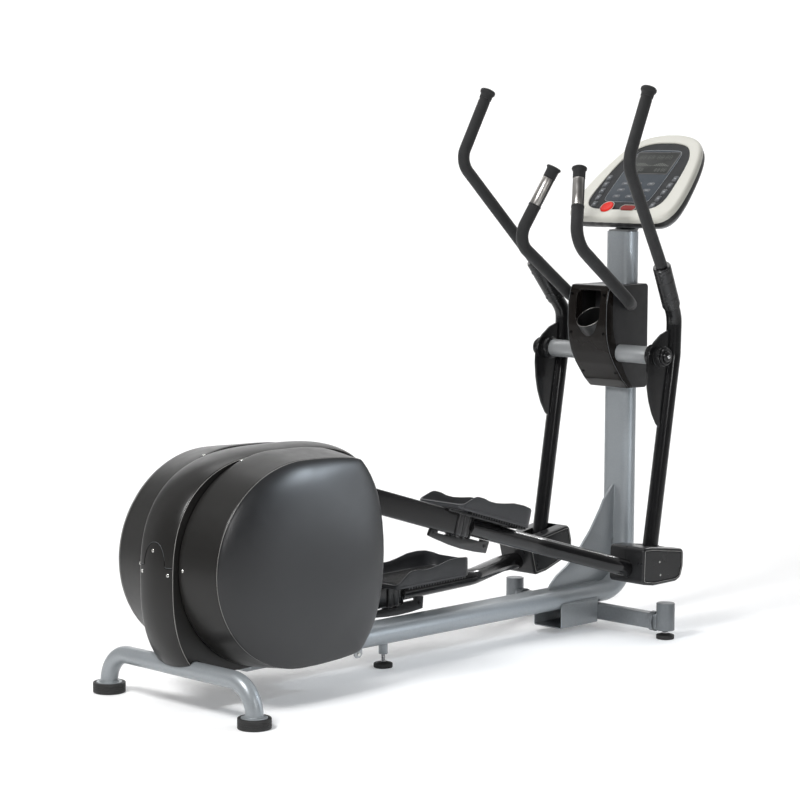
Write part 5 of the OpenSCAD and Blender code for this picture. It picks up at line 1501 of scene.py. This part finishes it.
for s, nm in ((1, "left"), (-1, "right")):
    v1 = prism(round_poly([(466, 136), (497, 136), (497, 108), (488, 99), (474, 99), (466, 107)], 4), 191.6, 195.4, "y", 0.6, 2)
    v, f = sided(v1, s)
    mk("cover_corner_tab_" + nm, v, f, M_GREY, "frame", "grey_paint", (), 30)
    v, f = sided(turned([(194, 2), (194, 5.4), (197.4, 5.4), (198.4, 4.6), (198.6, 2.6), (197.0, 2.2), (197.0, 0.3)], (482, 0, 109.5), (0, 1, 0), 24), s)
    mk("cover_corner_screw_" + nm, v, f, M_ZINC, "frame", "bright_steel", (), 30)

# cover screws: pan heads with a recess
sc = []
head = [(-6, 3), (-6, 5), (0.5, 5.0), (1.3, 4.4), (1.8, 3.4), (1.8, 2.3), (0.0, 1.9), (0.0, 0.3)]
for y, z in ((5, 441), (52, 381), (-52, 381)):
    sc.append(turned(head, (shroud_x(y, z), y, z), unit((-1, 0.12 * np.sign(y), (z - 356) * 0.0012)), 28))
for s in (1, -1):
    for x, y, z, a in ((-61.6, 86, 395, 180), (154.5, 77, 668.6, 107)):
        sc.append(sided(turned(head, (x, y, z), (math.cos(rad(a)), 0, math.sin(rad(a))), 28), s))
v, f = merge(sc)
mk("cover_screw_heads", v, f, M_ZINC, "frame", "bright_steel", ["cover_screws"], 30)

# ------------------------------------------------------------------ camera
R = Vector((0.70194695, -0.71221114, 0.00507642))
U = Vector((0.0699987, 0.0760794, 0.9946417))
F = Vector((0.70878111, 0.69783036, -0.10325756))
cd = bpy.data.cameras.new("view_camera")
cam = bpy.data.objects.new("view_camera", cd)
bpy.context.scene.collection.objects.link(cam)
cam.matrix_world = Matrix(((R.x, U.x, -F.x, -4.1917 - XR / 1000), (R.y, U.y, -F.y, -4.9526), (R.z, U.z, -F.z, 1.5103), (0, 0, 0, 1)))
cd.sensor_width = 36
cd.lens = 110.15
cd.clip_start = 0.05
cd.clip_end = 60
cd.dof.use_dof = False
bpy.context.scene.camera = cam


# ------------------------------------------------------------------ floor, world, lights
def floor_mat():
    m = bpy.data.materials.new("studio_floor")
    m.use_nodes = True
    nt = m.node_tree
    b = nt.nodes["Principled BSDF"]
    b.inputs["Roughness"].default_value = 0.75
    b.inputs["Specular IOR Level"].default_value = 0.2
    n = nt.nodes.new("ShaderNodeTexNoise")
    n.inputs["Scale"].default_value = 3.0
    n.inputs["Detail"].default_value = 3.0
    cr = nt.nodes.new("ShaderNodeValToRGB")
    cr.color_ramp.elements[0].color = (0.86, 0.86, 0.86, 1)
    cr.color_ramp.elements[1].color = (0.88, 0.88, 0.88, 1)
    nt.links.new(n.outputs["Fac"], cr.inputs[0])
    nt.links.new(cr.outputs[0], b.inputs["Base Color"])
    b.inputs["Emission Color"].default_value = (1, 1, 1, 1)
    b.inputs["Emission Strength"].default_value = 0.14
    return m


me = bpy.data.meshes.new("studio_floor")
pts, fcs = [], []
prof_ = [(-9.0, 0.0), (3.4, 0.0)] + [(3.4 + 2.6 * math.sin(t), 2.6 - 2.6 * math.cos(t)) for t in np.linspace(0.08, math.pi / 2, 18)] + [(6.0, 9.0)]
dirx, diry = 0.7126, 0.7016
for k, (a, z) in enumerate(prof_):
    for w in (-12.0, 12.0):
        pts.append((a * dirx - w * diry, a * diry + w * dirx, z - 0.0004))
for k in range(len(prof_) - 1):
    fcs.append((2 * k, 2 * k + 1, 2 * k + 3, 2 * k + 2))
me.from_pydata(pts, [], fcs)
for p in me.polygons:
    p.use_smooth = True
fl = bpy.data.objects.new("studio_floor", me)
bpy.context.scene.collection.objects.link(fl)
me.materials.append(floor_mat())

w = bpy.data.worlds.new("studio")
bpy.context.scene.world = w
w.use_nodes = True
wn = w.node_tree
bg = wn.nodes["Background"]
bg.inputs[1].default_value = 1.0
tcw = wn.nodes.new("ShaderNodeTexCoord")
vm = wn.nodes.new("ShaderNodeVectorMath")
vm.operation = "DOT_PRODUCT"
vm.inputs[1].default_value = (0.70, 0.70, 0.12)
wn.links.new(tcw.outputs["Generated"], vm.inputs[0])
wr = wn.nodes.new("ShaderNodeValToRGB")
e = wr.color_ramp.elements
e[0].position, e[0].color = 0.0, (0.07, 0.07, 0.072, 1)
e[1].position, e[1].color = 1.0, (1.0, 1.0, 1.0, 1)
x_ = e.new(0.45)
x_.color = (0.15, 0.15, 0.155, 1)
x_ = e.new(0.62)
x_.color = (0.55, 0.55, 0.55, 1)
mrw = wn.nodes.new("ShaderNodeMapRange")
mrw.inputs["From Min"].default_value = -1.0
mrw.inputs["From Max"].default_value = 1.0
wn.links.new(vm.outputs["Value"], mrw.inputs["Value"])
wn.links.new(mrw.outputs[0], wr.inputs[0])
wn.links.new(wr.outputs[0], bg.inputs[0])


def area(name, loc, target, sx, sy, power, col=(1, 1, 1)):
    d = bpy.data.lights.new(name, "AREA")
    d.shape = "RECTANGLE"
    d.size, d.size_y = sx, sy
    d.energy = power
    d.color = col
    o = bpy.data.objects.new(name, d)
    bpy.context.scene.collection.objects.link(o)
    o.location = loc
    o.rotation_euler = (Vector(target) - Vector(loc)).to_track_quat("-Z", "Y").to_euler()
    return o


area("key", (-2.9, -0.45, 2.8), (0.0, 0.0, 0.6), 0.9, 0.9, 104)
area("front", (-1.6, -4.4, 1.9), (-0.3, 0.0, 0.55), 0.7, 1.2, 33)
sd_ = area("side", (0.74, -1.38, 0.64), (-0.65, -0.22, 0.5), 1.0, 0.78, 6.4, (0.86, 0.93, 1.0))
sd_.visible_camera = False
sp_ = area("spot", (0.32, -1.33, 1.04), (-0.756, -0.217, 0.638), 0.12, 0.12, 7.5, (0.80, 0.90, 1.0))
sp_.visible_camera = False
lit_ = bpy.data.collections.new("side_light_targets")
for o_ in list(bpy.data.objects):
    if o_.type == "MESH" and o_.name.startswith(("cover_", "rear_stab", "pivot_cross", "floor_beam", "studio_floor")):
        lit_.objects.link(o_)
sd_.light_linking.receiver_collection = lit_
sp_.light_linking.receiver_collection = lit_
st_ = area("strip", (2.95, 0.1, 1.85), (0.35, -0.18, 0.36), 0.3, 0.3, 19.0)
st_.visible_camera = False
tub_ = bpy.data.collections.new("strip_light_targets")
for o_ in list(bpy.data.objects):
    if o_.type == "MESH" and o_.name.startswith(("pedal_arm_tubes_", "joint_cover_", "foot_tray_", "lever_main_tube_")):
        tub_.objects.link(o_)
st_.light_linking.receiver_collection = tub_
area("top", (0.6, 1.2, 4.4), (0.1, 0.0, 0.5), 2.2, 2.2, 44)
area("wall_left", (1.5, 4.4, 4.0), (4.0, 4.6, 1.2), 3.0, 3.0, 84)
area("wall_right", (4.4, 0.6, 4.0), (4.6, 3.6, 1.2), 3.0, 3.0, 84)

bpy.context.scene.view_settings.view_transform = "Standard"
